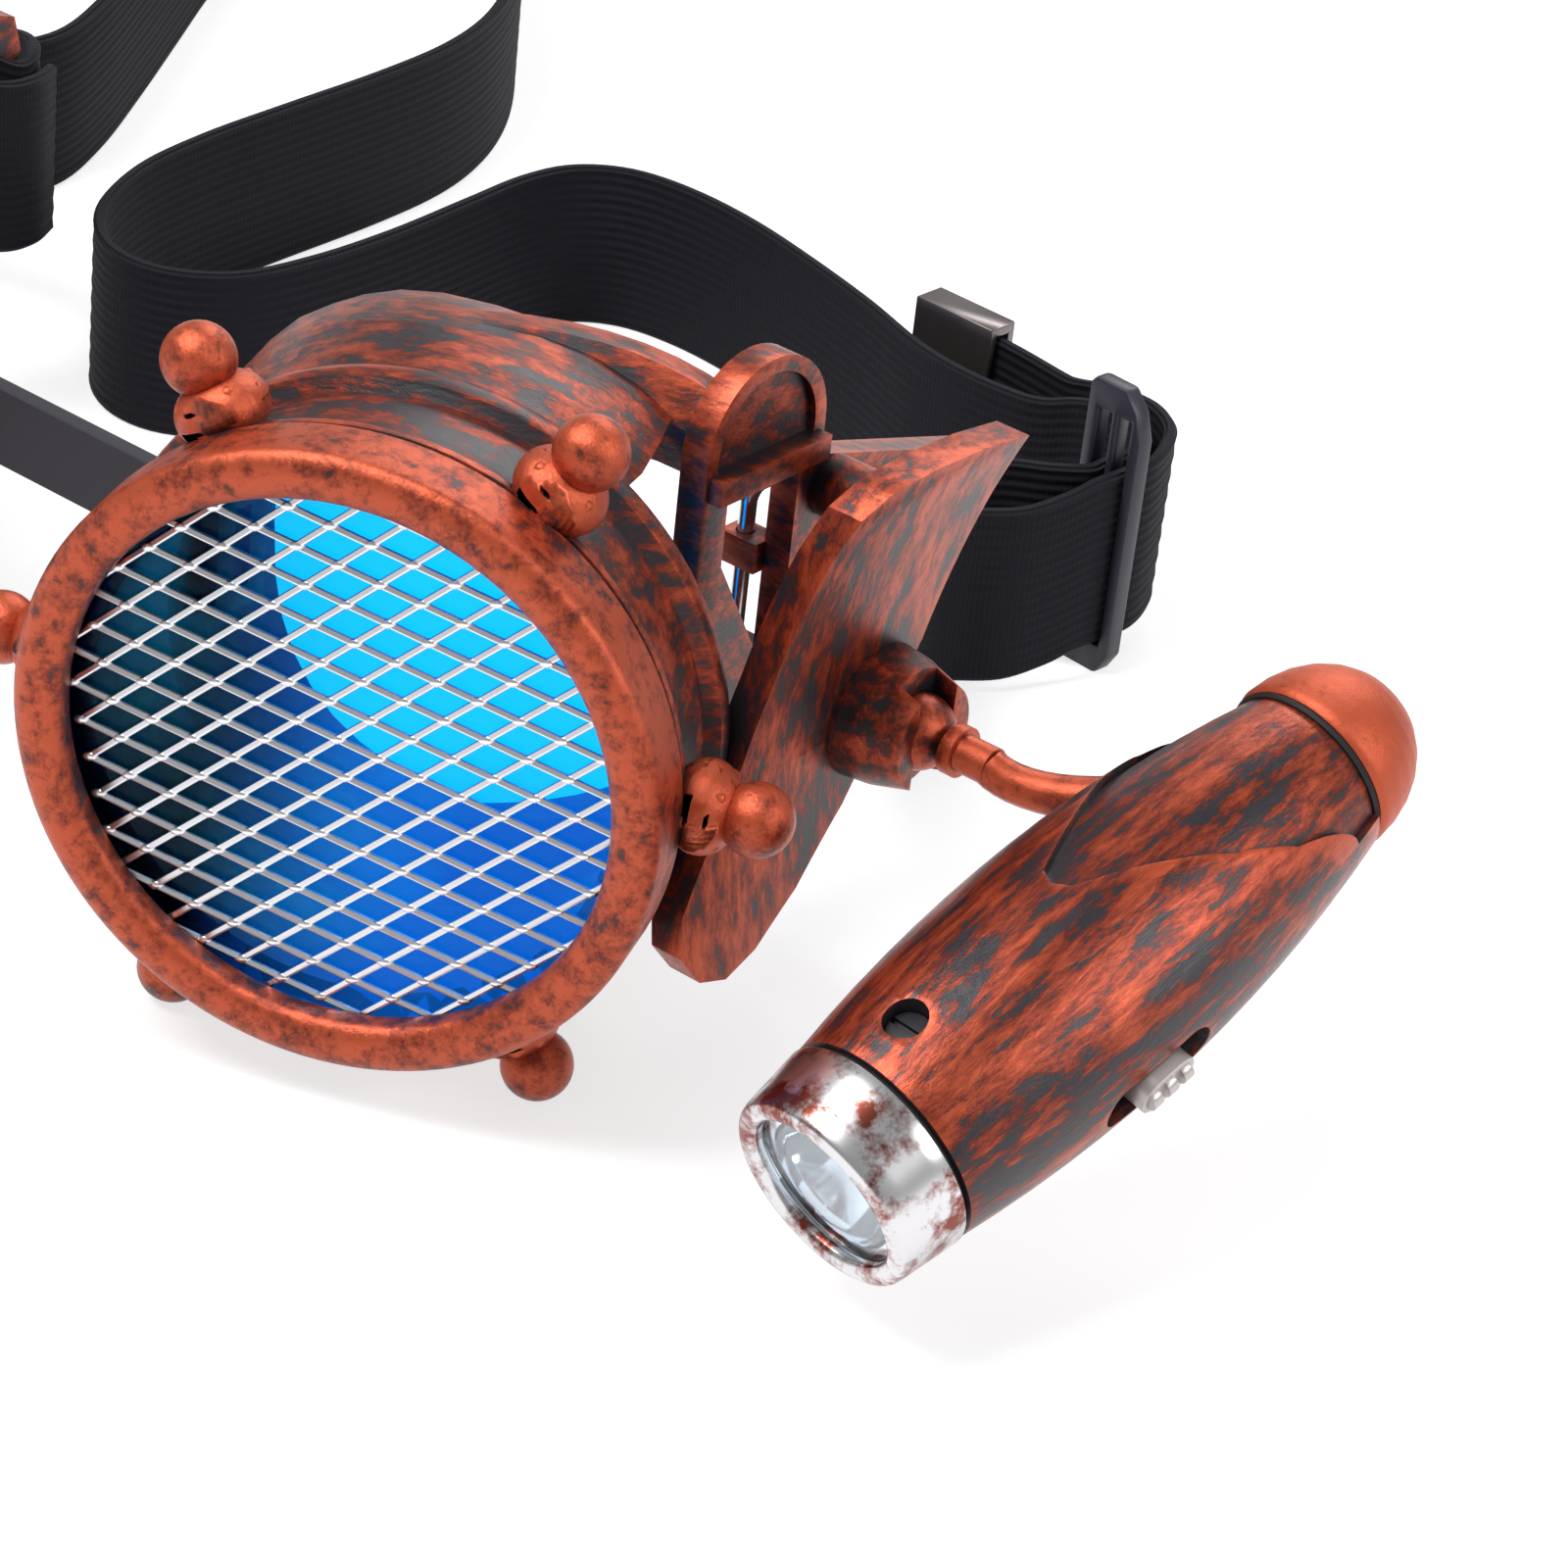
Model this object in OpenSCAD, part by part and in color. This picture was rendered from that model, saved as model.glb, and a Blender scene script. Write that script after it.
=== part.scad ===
// Steampunk goggles with a torch on each temple, standing on their studs with the strap behind them.
// The wearer looks along -Y, so the wearer's left cup is on the +X side. All sizes are in millimetres.

/* [Front ring and lens] */
// Clear opening of the front ring
window_d = 50; // [46:1:52]
// Width of the front ring's rounded face
bezel_w = 4.5; // [4.5:0.5:6.5]
// How far the front ring's face bulges forward
bezel_bulge = 1.5; // [1:0.25:2.5]
// How far the front ring's skirt reaches back
bezel_depth = 6; // [5.5:0.5:8]
// Thickness of the lip that holds the mesh
lip_t = 1.5; // [1:0.1:2]
// Radial clearance of the ring's thread
thread_fit = 0.06; // [0.03:0.01:0.1]
// Thickness of the lens
lens_t = 1.6; // [1.2:0.1:2]
// Thickness of the expanded metal mesh
mesh_t = 0.8; // [0.5:0.1:1]
// Long diagonal of one mesh cell
cell_l = 6.85; // [6:0.05:9]
// Short diagonal of one mesh cell
cell_w = 3.6; // [3.2:0.1:5]
// Width of one mesh strand
strand_w = 0.75; // [0.5:0.05:1.1]
// Turn of the mesh's long diagonal in the ring
mesh_turn = 15; // [0:1:30]

/* [Cup] */
// Distance between the middles of the two cups
cup_spacing = 117; // [104:1:120]
// How far each cup turns outwards
toe_out = 21.4; // [18:0.2:24]
// Wall of the barrel
barrel_wall = 4; // [3:0.5:5]
// How far back the barrel reaches from the ring's opening
barrel_end = 19.5; // [18:0.5:22]
// How far the ridges stand out of the barrel
ridge_h = 1.3; // [0.8:0.1:2]
// Wall of the skirt that meets the face
skirt_wall = 2.2; // [1.8:0.1:3]
// Width of the rear opening round the eye
eye_w = 50; // [46:1:54]
// Height of the rear opening round the eye
eye_h = 53; // [50:1:60]

/* [Studs] */
// Number of studs round each barrel
stud_count = 6; // [4:2:8]
// Diameter of a stud's ball
stud_ball_d = 6.6; // [5:0.2:8]
// Distance from the cup's axis to the middle of a ball
stud_reach = 35; // [34:0.5:38]
// Width of a stud's nut across its corners
stud_nut_d = 8; // [6:0.5:9]
// Diameter of a stud's neck under its nut
stud_neck_d = 5; // [4:0.2:5.6]
// Diameter of a stud's pin
stud_pin_d = 2.4; // [2:0.2:3]

/* [Temple lug and shield] */
// Thickness of the lug's plate
lug_t = 3; // [2:0.25:4]
// Width of the lug's arch
lug_w = 16.4; // [14:0.4:20]
// Thickness of the shield plate
shield_t = 3.4; // [2.5:0.1:4.5]
// Radius of the shield's hollow face
shield_r = 80; // [60:5:120]
// Diameter of the two posts behind the shield
post_d = 6; // [5:0.5:8]
// Diameter of the small screws' thread
screw_d = 2; // [1.6:0.2:2.6]
// Diameter of the strap ring's wire
wire_d = 1.6; // [1.2:0.2:2]

/* [Ball joint] */
// Diameter of the ball that carries the torch
ball_d = 7.2; // [6:0.2:8]
// Radial clearance of the ball in its socket
ball_fit = 0.06; // [0.03:0.01:0.1]
// Outer diameter of the socket
socket_d = 12.4; // [11:0.2:14]
// Width of the slot between the socket's two jaws
jaw_gap = 5.2; // [4.6:0.2:6]
// Diameter of the stem that the arm turns on
stem_d = 2.2; // [1.8:0.2:2.6]
// Diameter of the arm at the ball
arm_d = 3.6; // [3.4:0.2:4.4]

/* [Torch] */
// Length of the torch from its rim to its tip
torch_l = 71.5; // [68:0.5:80]
// Largest diameter of the torch's body
torch_d = 24; // [22:0.5:26]
// Diameter of the torch's window
torch_window_d = 15; // [13:0.5:16]
// Length of the silver head ring
head_l = 7; // [6:0.5:9]
// Length of the tail cone
tail_l = 11; // [10:0.5:15]
// Nose down tilt of the torch
torch_pitch = 20.5; // [15:0.5:22]
// How far the torch turns outwards at its tail
torch_yaw = 6.4; // [4:0.2:8]
// Diameter of one button cell
cell_d = 11.6; // [9.5:0.1:11.6]
// Thickness of one button cell
cell_t = 5.4; // [3.6:0.1:5.4]
// Number of button cells
cell_count = 3; // [2:1:3]
// Length of the switch's knob
knob_l = 6.4; // [5:0.2:7]
// Width of the switch's knob
knob_w = 4.2; // [3.6:0.2:5]
// Travel of the switch each way from the middle
switch_travel = 2.8; // [2:0.2:3]

/* [Straps] */
// Width of the elastic head strap
strap_w = 20; // [18:0.5:21]
// Thickness of the head strap
strap_t = 1.4; // [1:0.1:1.6]
// Height of the nose band
nose_w = 8; // [6:0.2:11]
// Thickness of the nose band
nose_t = 1.8; // [1.2:0.1:2.2]
// Length of the slider buckle's slots
slider_slot = 26; // [20.6:0.2:26]
// Thickness of the slider buckle's plate
slider_t = 2.2; // [1.8:0.1:3]
// Width of the slider's end bars
slider_bar = 3.2; // [2.4:0.2:3.6]
// Length of the end clip
clip_l = 11; // [9:0.5:16]

/* [Hidden] */
$fn = 72;

copper = "#b4522c";
dark_copper = "#7c3a24";
silver = "#b9b4b0";
black = "#1b1b1f";
clearance = 0.1;

// Front ring, mesh and lens, measured along the cup's axis from the ring's opening
bezel_r = window_d / 2 + bezel_w;
thread_r = bezel_r - 2.7;
mesh_y = lip_t;
lens_y = mesh_y + mesh_t + clearance;
nose_y = lens_y + lens_t;
barrel_r = bezel_r - 1.6;
bore_r = barrel_r - barrel_wall;
stud_y = bezel_depth + 2.8;
axis_h = stud_reach * cos(180 / stud_count) + stud_ball_d / 2;
cup_x = cup_spacing / 2;

// The nose band's place in the tabs of the cups
tab_x = cup_x - 39.5;
band_y = 21.4;

// The temple side, in the whole frame's own directions
lug_inset = 22.4;
lug_x = cup_x + barrel_r - lug_inset;
lug_y = 44.5;
lug_arch_z = axis_h + 19.8;
shield_x = lug_x + 13;
shield_mid_z = axis_h - 3.6;
post_places = [[54.5, axis_h + 12.4], [40, axis_h - 12.6]];
ring_x = lug_x - 2.5;
ring_front_y = lug_y + 5.5;
ring_rear_y = ring_front_y + 7.5;
ring_low = axis_h - strap_w / 2 - 3.2;
ring_high = axis_h + 11.4;

// The ball joint and the torch
ball_r = ball_d / 2;
ball_at = [shield_x + shield_t + 5.1, 46.5, axis_h - 2.1];
jaw_reach = 1.8;
sleeve_x = ball_r + 0.3;
sleeve_l = 4.6;
torch_nose = [ball_at[0] + 24.5, ball_at[1] - 41.5, axis_h - 19.6];
gap_w = 0.6;
body_y = head_l + gap_w;
body_end = torch_l - tail_l;
widest_s = 30;
tail_drop = 3.3489;
cells_end = body_end - 10.5;
board_y = body_y + 4.6;

// Strap levels, all measured from the surface that it lies on
low_z = slider_bar + 0.2;
ring_z = ring_low + wire_d / 2 + 0.4;
slider_at = [57, 117.5];
slider_turn = -6;
layer_gap = strap_t / 2 + 0.65;

// A point of one of the slider's two strap layers: side is 1 outside and -1 inside
function at_slider(side, along) = [
    slider_at[0] + side * layer_gap * cos(slider_turn) - along * sin(slider_turn),
    slider_at[1] + side * layer_gap * sin(slider_turn) + along * cos(slider_turn),
    low_z
];

// Stretches of the one strap, from the clip to the right loop, as the middle of its thickness and the
// height of its lower edge. Each ends where the next begins.
wrap = wire_d / 2 + 0.1 + strap_t / 2;
free_end = [[17.4, 139.2, 0], [23, 138.9, 0], [30, 138.1, 0], [36.5, 136.9, 0]];
turn_out = [
    [38.5, 136.5, 0.2], [42, 135.9, 1.2], [46, 135.1, 2.2], [51.2, 133.2, low_z - 0.3], [55.4, 130, low_z],
    [57.6, 126, low_z]
];
adjuster_out = [
    at_slider(1, 4.5), at_slider(1, 1.5), at_slider(1, -1.5), at_slider(1, -4.5), [56.8, 110, 2.4],
    [54.6, 105.4, 1.4], [51.2, 101, 1.4]
];
left_loop = [
    [50.2, 96.5, 2.4], [ring_x - 8.5, 88.5, 6.4], [ring_x - 3.5, 77, 12.5], [ring_x, 67, 17.5],
    [ring_x + wrap, ring_rear_y + 3, ring_z],
    for (a = [0 : 30 : 180]) [ring_x + wrap * cos(a), ring_rear_y - wrap * sin(a), ring_z],
    [ring_x - wrap, ring_rear_y + 3, ring_z], [ring_x - 4.5, 68, 16.6], [ring_x - 10, 79, 11.4],
    [45.5, 90, 6]
];
adjuster_in = [
    [43.4, 98, 3], [44.2, 105, 2.2], [47.6, 110.4, 2.6], [52.2, 113, 3], at_slider(-1, -2.4),
    at_slider(-1, 0)
];
turn_in = [
    at_slider(-1, 4.5), [54.6, 125.4, low_z], [52.6, 128.8, low_z - 0.3], [48.4, 131.2, 2.4],
    [43, 131.2, 1.2], [39.5, 130, 0.2]
];
run = [
    [36.5, 129.2, 0], [29.5, 129, 0], [21.5, 130.6, 0], [11.5, 134.5, 0], [0.5, 138, 0], [-10.5, 140.8, 0],
    [-20.5, 141.8, 0], [-28.5, 140.5, 0], [-33.5, 136, 0], [-35.1, 129, 0], [-34.7, 119, 0], [-34.1, 106, 0]
];
near_fold = [
    [-34.7, 94, 0], [-37.1, 84.5, 0], [-43.5, 79, 0], [-51.5, 79.3, 0], [-59, 85.5, 0], [-64, 96, 0]
];
rear_run = [
    [-65.9, 108, 0], [-66.3, 122, 0], [-66.5, 138, 0], [-67.7, 151, 0], [-71, 162, 0], [-77, 173, 0]
];
far_fold = [
    [-85.5, 184, 0], [-95.5, 194.5, 0], [-107.5, 206, 0], [-119.5, 213.5, 0], [-130.5, 214.5, 0],
    [-138.5, 208.5, 0], [-141, 198, 0]
];
right_side = [
    [-137.5, 186, 0], [-131, 173.5, 0], [-121.5, 158, 0], [-112, 142.5, 0], [-103, 127, 0]
];
right_loop = [
    [-98.6, 116, 0], [-99, 107, 0.6], [-101.6, 98, 2.4], [-102, 90, 5.4], [-97.4, 85, 9], [-89.6, 84, 12],
    [-80, 85, 14.4], [-ring_x - 10.5, 84.8, 16.4], [-ring_x - 4.5, 81.4, 17.6], [-ring_x - 1.3, 76, 18],
    [-ring_x - 1.4, 69, ring_z - 0.2],
    [-ring_x - wrap, ring_rear_y + 3.5, ring_z],
    for (a = [0 : 30 : 180]) [-ring_x - wrap * cos(a), ring_rear_y - wrap * sin(a), ring_z],
    [-ring_x + wrap, ring_rear_y + 3.5, ring_z], [1.3 - ring_x, 71, 17.8], [0.5 - ring_x, 76.8, 16.8],
    [-ring_x - 2.9, 82.4, 15.6]
];
stretches = [
    free_end, turn_out, adjuster_out, left_loop, adjuster_in, turn_in, run, near_fold, rear_run, far_fold,
    right_side, right_loop
];
smooth_steps = 3;
route = smooth([for (part = stretches) each part]);

// The whole part's box, which puts the origin under its middle
torch_dir = [cos(torch_pitch) * sin(torch_yaw), cos(torch_pitch) * cos(torch_yaw), sin(torch_pitch)];
right_edge = max([for (s = [0 : 2 : torch_l])
    torch_nose[0] + s * torch_dir[0] + torch_r(s) * sqrt(1 - torch_dir[0] * torch_dir[0])]);
strap_sides = [for (i = [0 : len(route) - 1], side = [-1, 1]) beside(i, side * strap_t / 2)];
left_edge = min([for (p = strap_sides) p[0]]);
rear_edge = max([for (p = strap_sides) p[1]]);
front_edge = min([for (a = [180 : 15 : 360])
    -(window_d / 2 + bezel_w / 2 * (1 + cos(a))) * sin(toe_out) + bezel_bulge * sin(a) * cos(toe_out)]);
origin = [(left_edge + right_edge) / 2, (front_edge + rear_edge) / 2, 0];

// A quarter point of a smooth curve through four points
function blend4(a, b, c, d, t) =
    0.5 * (2 * b + (c - a) * t + (2 * a - 5 * b + 4 * c - d) * t * t + (3 * b - a - 3 * c + d) * t * t * t);
function smooth(p) = let (n = len(p)) [
    for (i = [0 : n - 2], k = [0 : smooth_steps - 1])
        blend4(p[max(i - 1, 0)], p[i], p[i + 1], p[min(i + 2, n - 1)], k / smooth_steps),
    p[n - 1]
];
// First and last point of each stretch on the strap's smooth route
function first_point(k) = k == 0 ? 0 : first_point(k - 1) + len(stretches[k - 1]) * smooth_steps;
function last_point(k) = min(first_point(k + 1), len(route) - 1);
// Unit direction along the route, and the point that is beside it, both seen from above
function heading(i) = let (d = route[min(i + 1, len(route) - 1)] - route[max(i - 1, 0)])
    [d[0], d[1]] / norm([d[0], d[1]]);
function beside(i, off) = let (h = heading(i)) [route[i][0] - h[1] * off, route[i][1] + h[0] * off];

// A stretch of the strap that stands on edge on the floor
module level_strap(k) {
    from = first_point(k);
    to = last_point(k);
    linear_extrude(strap_w)
        polygon(concat(
            [for (i = [from : to]) beside(i, strap_t / 2)],
            [for (i = [to : -1 : from]) beside(i, -strap_t / 2)]
        ));
}

// A stretch of the strap that climbs
module rising_strap(k) {
    from = first_point(k);
    n = last_point(k) - from + 1;
    corners = [for (i = [from : from + n - 1], c = [[1, 0], [-1, 0], [-1, 1], [1, 1]])
        let (q = beside(i, c[0] * strap_t / 2)) [q[0], q[1], route[i][2] + c[1] * strap_w]];
    sides = [for (i = [0 : n - 2], k = [0 : 3]) each [
        [4 * i + k, 4 * i + (k + 1) % 4, 4 * i + 4 + k],
        [4 * i + (k + 1) % 4, 4 * i + 4 + (k + 1) % 4, 4 * i + 4 + k]
    ]];
    last = 4 * (n - 1);
    ends = [[0, 3, 2], [0, 2, 1], [last, last + 1, last + 2], [last, last + 2, last + 3]];
    polyhedron(corners, concat(sides, ends));
}

// Turns a profile of [radius, distance behind the front] round the Y axis
module turned(profile) {
    rotate([-90, 0, 0]) rotate_extrude() polygon(profile);
}

// A flat shape drawn in Y and Z, given a thickness from one X to another
module side_plate(from_x, to_x) {
    translate([from_x, 0, 0]) rotate([90, 0, 90]) linear_extrude(to_x - from_x) children();
}

module cup_place() {
    translate([cup_x, 0, axis_h]) rotate([0, 0, toe_out]) children();
}

// Front ring: a rounded face, a lip that holds the mesh, and a threaded skirt
module bezel() {
    mid_r = window_d / 2 + bezel_w / 2;
    color(copper) cup_place() turned(concat(
        [for (a = [180 : 15 : 360]) [mid_r + bezel_w / 2 * cos(a), bezel_bulge * sin(a)]],
        [[bezel_r, bezel_depth - 0.8], [bezel_r - 0.8, bezel_depth], [thread_r, bezel_depth],
         [thread_r, lip_t], [window_d / 2, lip_t]]
    ));
}

// Expanded metal mesh: a flat net in a plain rim
module mesh() {
    rim_r = thread_r - 2 * clearance;
    open_r = window_d / 2 - 0.3;
    gap_l = cell_l / 2 - strand_w * 0.62;
    gap_w2 = cell_w / 2 - strand_w * 0.5;
    columns = ceil(window_d / cell_l);
    rows = ceil(window_d / cell_w);
    color(silver) cup_place() translate([0, mesh_y + mesh_t, 0]) rotate([90, 0, 0]) linear_extrude(mesh_t)
        rotate(mesh_turn) difference() {
            circle(rim_r);
            for (i = [-columns : columns], j = [-rows : rows]) {
                x = i * cell_l / 2;
                y = j * cell_w / 2;
                if ((i + j) % 2 == 0 && norm([x, y]) < open_r - cell_w * 0.45)
                    translate([x, y]) intersection() {
                        polygon([[-gap_l, 0], [0, -gap_w2], [gap_l, 0], [0, gap_w2]]);
                        translate([-x, -y]) circle(open_r);
                    }
            }
        }
}

module lens() {
    color("#1f86d6") cup_place() turned([
        [0, lens_y], [thread_r - 2 * clearance, lens_y], [thread_r - 2 * clearance, nose_y], [0, nose_y]
    ]);
}

// Six turned studs pinned into the barrel
module studs() {
    color(copper) cup_place() for (k = [0 : stud_count - 1])
        rotate([0, (k + 0.5) * 360 / stud_count, 0]) translate([0, stud_y, 0]) {
            translate([0, 0, stud_reach]) sphere(d = stud_ball_d);
            translate([0, 0, bezel_r + 0.15])
                cylinder(d = stud_nut_d, h = stud_reach - bezel_r - 2.8, $fn = 6);
            translate([0, 0, barrel_r]) cylinder(d = stud_neck_d, h = stud_reach - barrel_r - 1);
            translate([0, 0, barrel_r - 1.5]) cylinder(d = stud_pin_d, h = 3);
        }
}

// Points of the face skirt: around is the angle, along runs from the barrel (0) to the face (1)
function cup_point(p) = [
    cup_x + p[0] * cos(toe_out) - p[1] * sin(toe_out),
    p[0] * sin(toe_out) + p[1] * cos(toe_out),
    axis_h + p[2]
];
function signed_power(v, e) = sign(v) * pow(abs(v), e);
function eye_point(around, inset) = let (x = (eye_w / 2 - inset) * signed_power(cos(around), 0.8)) [
    cup_x - 14.5 + x, 36 + 0.22 * x, axis_h + (eye_h / 2 - inset) * signed_power(sin(around), 0.74)
];
function skirt_point(around, along, inset) =
    let (r = barrel_r - 0.2 - inset,
        a = cup_point([r * cos(around), barrel_end - 1.5, r * sin(around)]),
        b = eye_point(around, inset),
        s = along * along * (3 - 2 * along))
    a * (1 - s) + b * s + [0, (along - s) * norm(b - a) * 0.7, 0]
        + [cos(around), 0, sin(around)] * 1.5 * sin(180 * along);

skirt_from = 52;
skirt_to = 312;
skirt_parts = 26;
skirt_rows = 4;

module skirt() {
    loop = 2 * (skirt_rows + 1);
    step = (skirt_to - skirt_from) / skirt_parts;
    points = [for (i = [0 : skirt_parts]) each concat(
        [for (j = [0 : skirt_rows]) skirt_point(skirt_from + i * step, j / skirt_rows, 0)],
        [for (j = [skirt_rows : -1 : 0]) skirt_point(skirt_from + i * step, j / skirt_rows, skirt_wall)]
    )];
    sides = [for (i = [0 : skirt_parts - 1], k = [0 : loop - 1]) each [
        [loop * i + k, loop * i + loop + k, loop * i + (k + 1) % loop],
        [loop * i + (k + 1) % loop, loop * i + loop + k, loop * i + loop + (k + 1) % loop]
    ]];
    last = loop * skirt_parts;
    caps = [for (j = [0 : skirt_rows - 1]) each [
        [j, j + 1, loop - 2 - j], [j, loop - 2 - j, loop - 1 - j],
        [last + j, last + loop - 2 - j, last + j + 1], [last + j, last + loop - 1 - j, last + loop - 2 - j]
    ]];
    polyhedron(points, concat(sides, caps));
}

// A tapering bar along a curve through three points, with a creased section that it keeps
module creased_bar(from, over, to, from_size, to_size, shape) {
    count = 9;
    n = len(shape);
    path = [for (i = [0 : count]) let (t = i / count)
        from * (1 - t) * (1 - t) + 2 * over * t * (1 - t) + to * t * t];
    points = [for (i = [0 : count]) let (
        t = i / count,
        d = path[min(i + 1, count)] - path[max(i - 1, 0)],
        h = [d[0], d[1], 0] / norm([d[0], d[1]]),
        size = from_size * (1 - t) + to_size * t
    ) each [for (s = shape) path[i] + [h[1] * s[0] * size, -h[0] * s[0] * size, s[1] * size]]];
    sides = [for (i = [0 : count - 1], k = [0 : n - 1]) each [
        [n * i + k, n * i + (k + 1) % n, n * i + n + k],
        [n * i + (k + 1) % n, n * i + n + (k + 1) % n, n * i + n + k]
    ]];
    ends = [for (k = [1 : n - 2]) each [[0, k + 1, k], [n * count, n * count + k, n * count + k + 1]]];
    polyhedron(points, concat(sides, ends));
}

// Temple lug: an arched plate with a window for the strap and a wing behind it
module lug() {
    arch_r = lug_w / 2;
    foot_z = axis_h - 19;
    window_top = lug_arch_z - 3.5;
    difference() {
        union() {
            side_plate(lug_x, lug_x + lug_t) difference() {
                union() {
                    translate([lug_y, lug_arch_z]) circle(arch_r);
                    translate([lug_y - arch_r, axis_h - 12]) square([lug_w, lug_arch_z - axis_h + 12]);
                    polygon([[lug_y - arch_r, axis_h - 12], [lug_y - arch_r + 4, foot_z],
                        [lug_y + arch_r - 4, foot_z], [lug_y + arch_r, axis_h - 12]]);
                    polygon([[lug_y + arch_r - 1, window_top], [lug_y + 32, axis_h + 9],
                        [lug_y + 33, axis_h + 5], [lug_y + 27, axis_h - 6],
                        [lug_y + arch_r - 1, axis_h - 14]]);
                }
                polygon([[lug_y - arch_r + 3.4, window_top], [lug_y + arch_r - 3, window_top],
                    [lug_y + arch_r - 3, axis_h - 8], [lug_y + 4, axis_h - 6],
                    [lug_y - arch_r + 3.4, axis_h + 9]]);
            }
            // Bar under the arch
            side_plate(lug_x, lug_x + lug_t + 1.4)
                translate([lug_y - arch_r + 0.6, window_top]) square([lug_w - 1.2, 2.4]);
            // Eyelets that carry the strap ring
            for (z = [axis_h - 7, axis_h + 4])
                translate([ring_x - 1.7, ring_front_y - 1.7, z]) cube([lug_x - ring_x + 1.8, 3.4, 3]);
        }
        // Hollow in the arch's face
        side_plate(lug_x + lug_t - 0.8, lug_x + lug_t + 0.01) difference() {
            translate([lug_y, lug_arch_z]) circle(arch_r - 1.5);
            translate([lug_y - arch_r, window_top - 20]) square([lug_w, 22.4]);
        }
        translate([ring_x, ring_front_y, axis_h - 10]) cylinder(d = wire_d + 0.2, h = 20, $fn = 24);
        for (p = post_places)
            translate([lug_x - 1, p[0], p[1]]) rotate([0, 90, 0])
                cylinder(d = screw_d + 0.3, h = lug_t + 3, $fn = 24);
    }
}

// Eyecup: barrel, face skirt, brow and cheek bars and the temple lug, moulded in one piece
module eyecup() {
    ridge_r = barrel_r + ridge_h - 0.2;
    color(dark_copper) difference() {
        union() {
            cup_place() turned([
                [bore_r, nose_y], [thread_r - thread_fit, nose_y],
                [thread_r - thread_fit, bezel_depth + 0.1], [barrel_r - 0.3, bezel_depth + 0.1],
                [ridge_r, bezel_depth + 0.4], [ridge_r, bezel_depth + 1.2], [barrel_r, bezel_depth + 1.6],
                [barrel_r - 0.3, barrel_end - 3.4], [ridge_r, barrel_end - 2.8],
                [ridge_r + 0.2, barrel_end - 1.8], [ridge_r, barrel_end - 0.6], [barrel_r - 0.4, barrel_end],
                [bore_r, barrel_end]
            ]);
            skirt();
            creased_bar([cup_x - 19, 25, axis_h + 22.4], [cup_x - 5, 37.5, axis_h + 25.6],
                [lug_x + 1, lug_y - 3.6, axis_h + 20.6], 1.3, 1,
                [[-1.6, -4.2], [1.3, -4.6], [3.2, 0.4], [0.8, 3.8], [-2.2, 3.4]]);
            creased_bar([cup_x - 11, 29, axis_h - 24.5], [cup_x, 37, axis_h - 23],
                [lug_x + 1, lug_y - 3, axis_h - 14], 1.2, 0.9,
                [[-1.8, -3], [1, -3.2], [2.6, -0.4], [1.4, 2.8], [-2.2, 2.6]]);
            lug();
            // Tab that holds the nose band
            translate([tab_x, band_y - 2.2, axis_h - nose_w / 2 - 2.4])
                cube([6.5, nose_t + 4.4, nose_w + 4.8]);
        }
        cup_place() turned([[0, -1], [bore_r, -1], [bore_r, barrel_end + 0.5], [0, barrel_end + 0.5]]);
        cup_place() for (k = [0 : stud_count - 1])
            rotate([0, (k + 0.5) * 360 / stud_count, 0]) translate([0, stud_y, barrel_r - 1.7]) {
                cylinder(d = stud_pin_d + 0.1, h = 6, $fn = 24);
                translate([0, 0, 1.7]) cylinder(d = stud_neck_d + 0.1, h = 4, $fn = 36);
            }
        // Ways in for the heads of the shield's screws
        for (p = post_places)
            translate([lug_x - 14, p[0], p[1]]) rotate([0, 90, 0]) {
                cylinder(d = 2 * screw_d + 0.6, h = 14, $fn = 36);
                cylinder(d = screw_d + 0.3, h = 20, $fn = 24);
            }
        // Room for the shield beside the barrel
        intersection() {
            translate([shield_x + shield_r, 0, shield_mid_z]) rotate([-90, 0, 0])
                cylinder(r = shield_r + shield_room, h = 90, $fn = 180);
            side_plate(shield_x - 1, shield_x + 16) polygon([
                for (p = shield_edge) [p[0] - shield_room, axis_h + p[1]]
            ]);
        }
        translate([tab_x - 1, band_y - 0.1, axis_h - nose_w / 2 - 0.1])
            cube([20, nose_t + 0.2, nose_w + 0.2]);
    }
}

// Wire rectangle that the head strap loops round
module strap_ring() {
    bend_r = 1.6;
    long = ring_high - ring_low - 2 * bend_r;
    short = ring_rear_y - ring_front_y - 2 * bend_r;
    color(silver) {
        for (y = [ring_front_y, ring_rear_y])
            translate([ring_x, y, ring_low + bend_r]) cylinder(d = wire_d, h = long, $fn = 24);
        for (z = [ring_low, ring_high])
            translate([ring_x, ring_front_y + bend_r, z]) rotate([-90, 0, 0])
                cylinder(d = wire_d, h = short, $fn = 24);
        for (k = [0 : 3])
            translate([ring_x, k == 1 || k == 2 ? ring_rear_y - bend_r : ring_front_y + bend_r,
                k > 1 ? ring_high - bend_r : ring_low + bend_r])
                rotate([90 * k, 0, 0]) rotate([90, 0, 90]) rotate([0, 0, 180])
                    rotate_extrude(angle = 90, $fn = 48) translate([bend_r, 0]) circle(d = wire_d, $fn = 24);
    }
}

// Outline of the shield, as places along Y and heights above the cup's axis
shield_edge = [
    [58, 23.4], [56.4, 18], [54.4, 10], [52.4, 3], [48.6, -4], [43.2, -10.6], [36.6, -16.4], [30.6, -20],
    [26.4, -21.2], [23, -20.2], [20.8, -17.2], [21, -13.4], [24.6, -7.6], [28, -1], [30.2, 6], [31.6, 12.4],
    [33, 18.4], [34.8, 22.6], [38.2, 24.6], [44, 25], [51, 24.6]
];

shield_room = 0.3;

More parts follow.
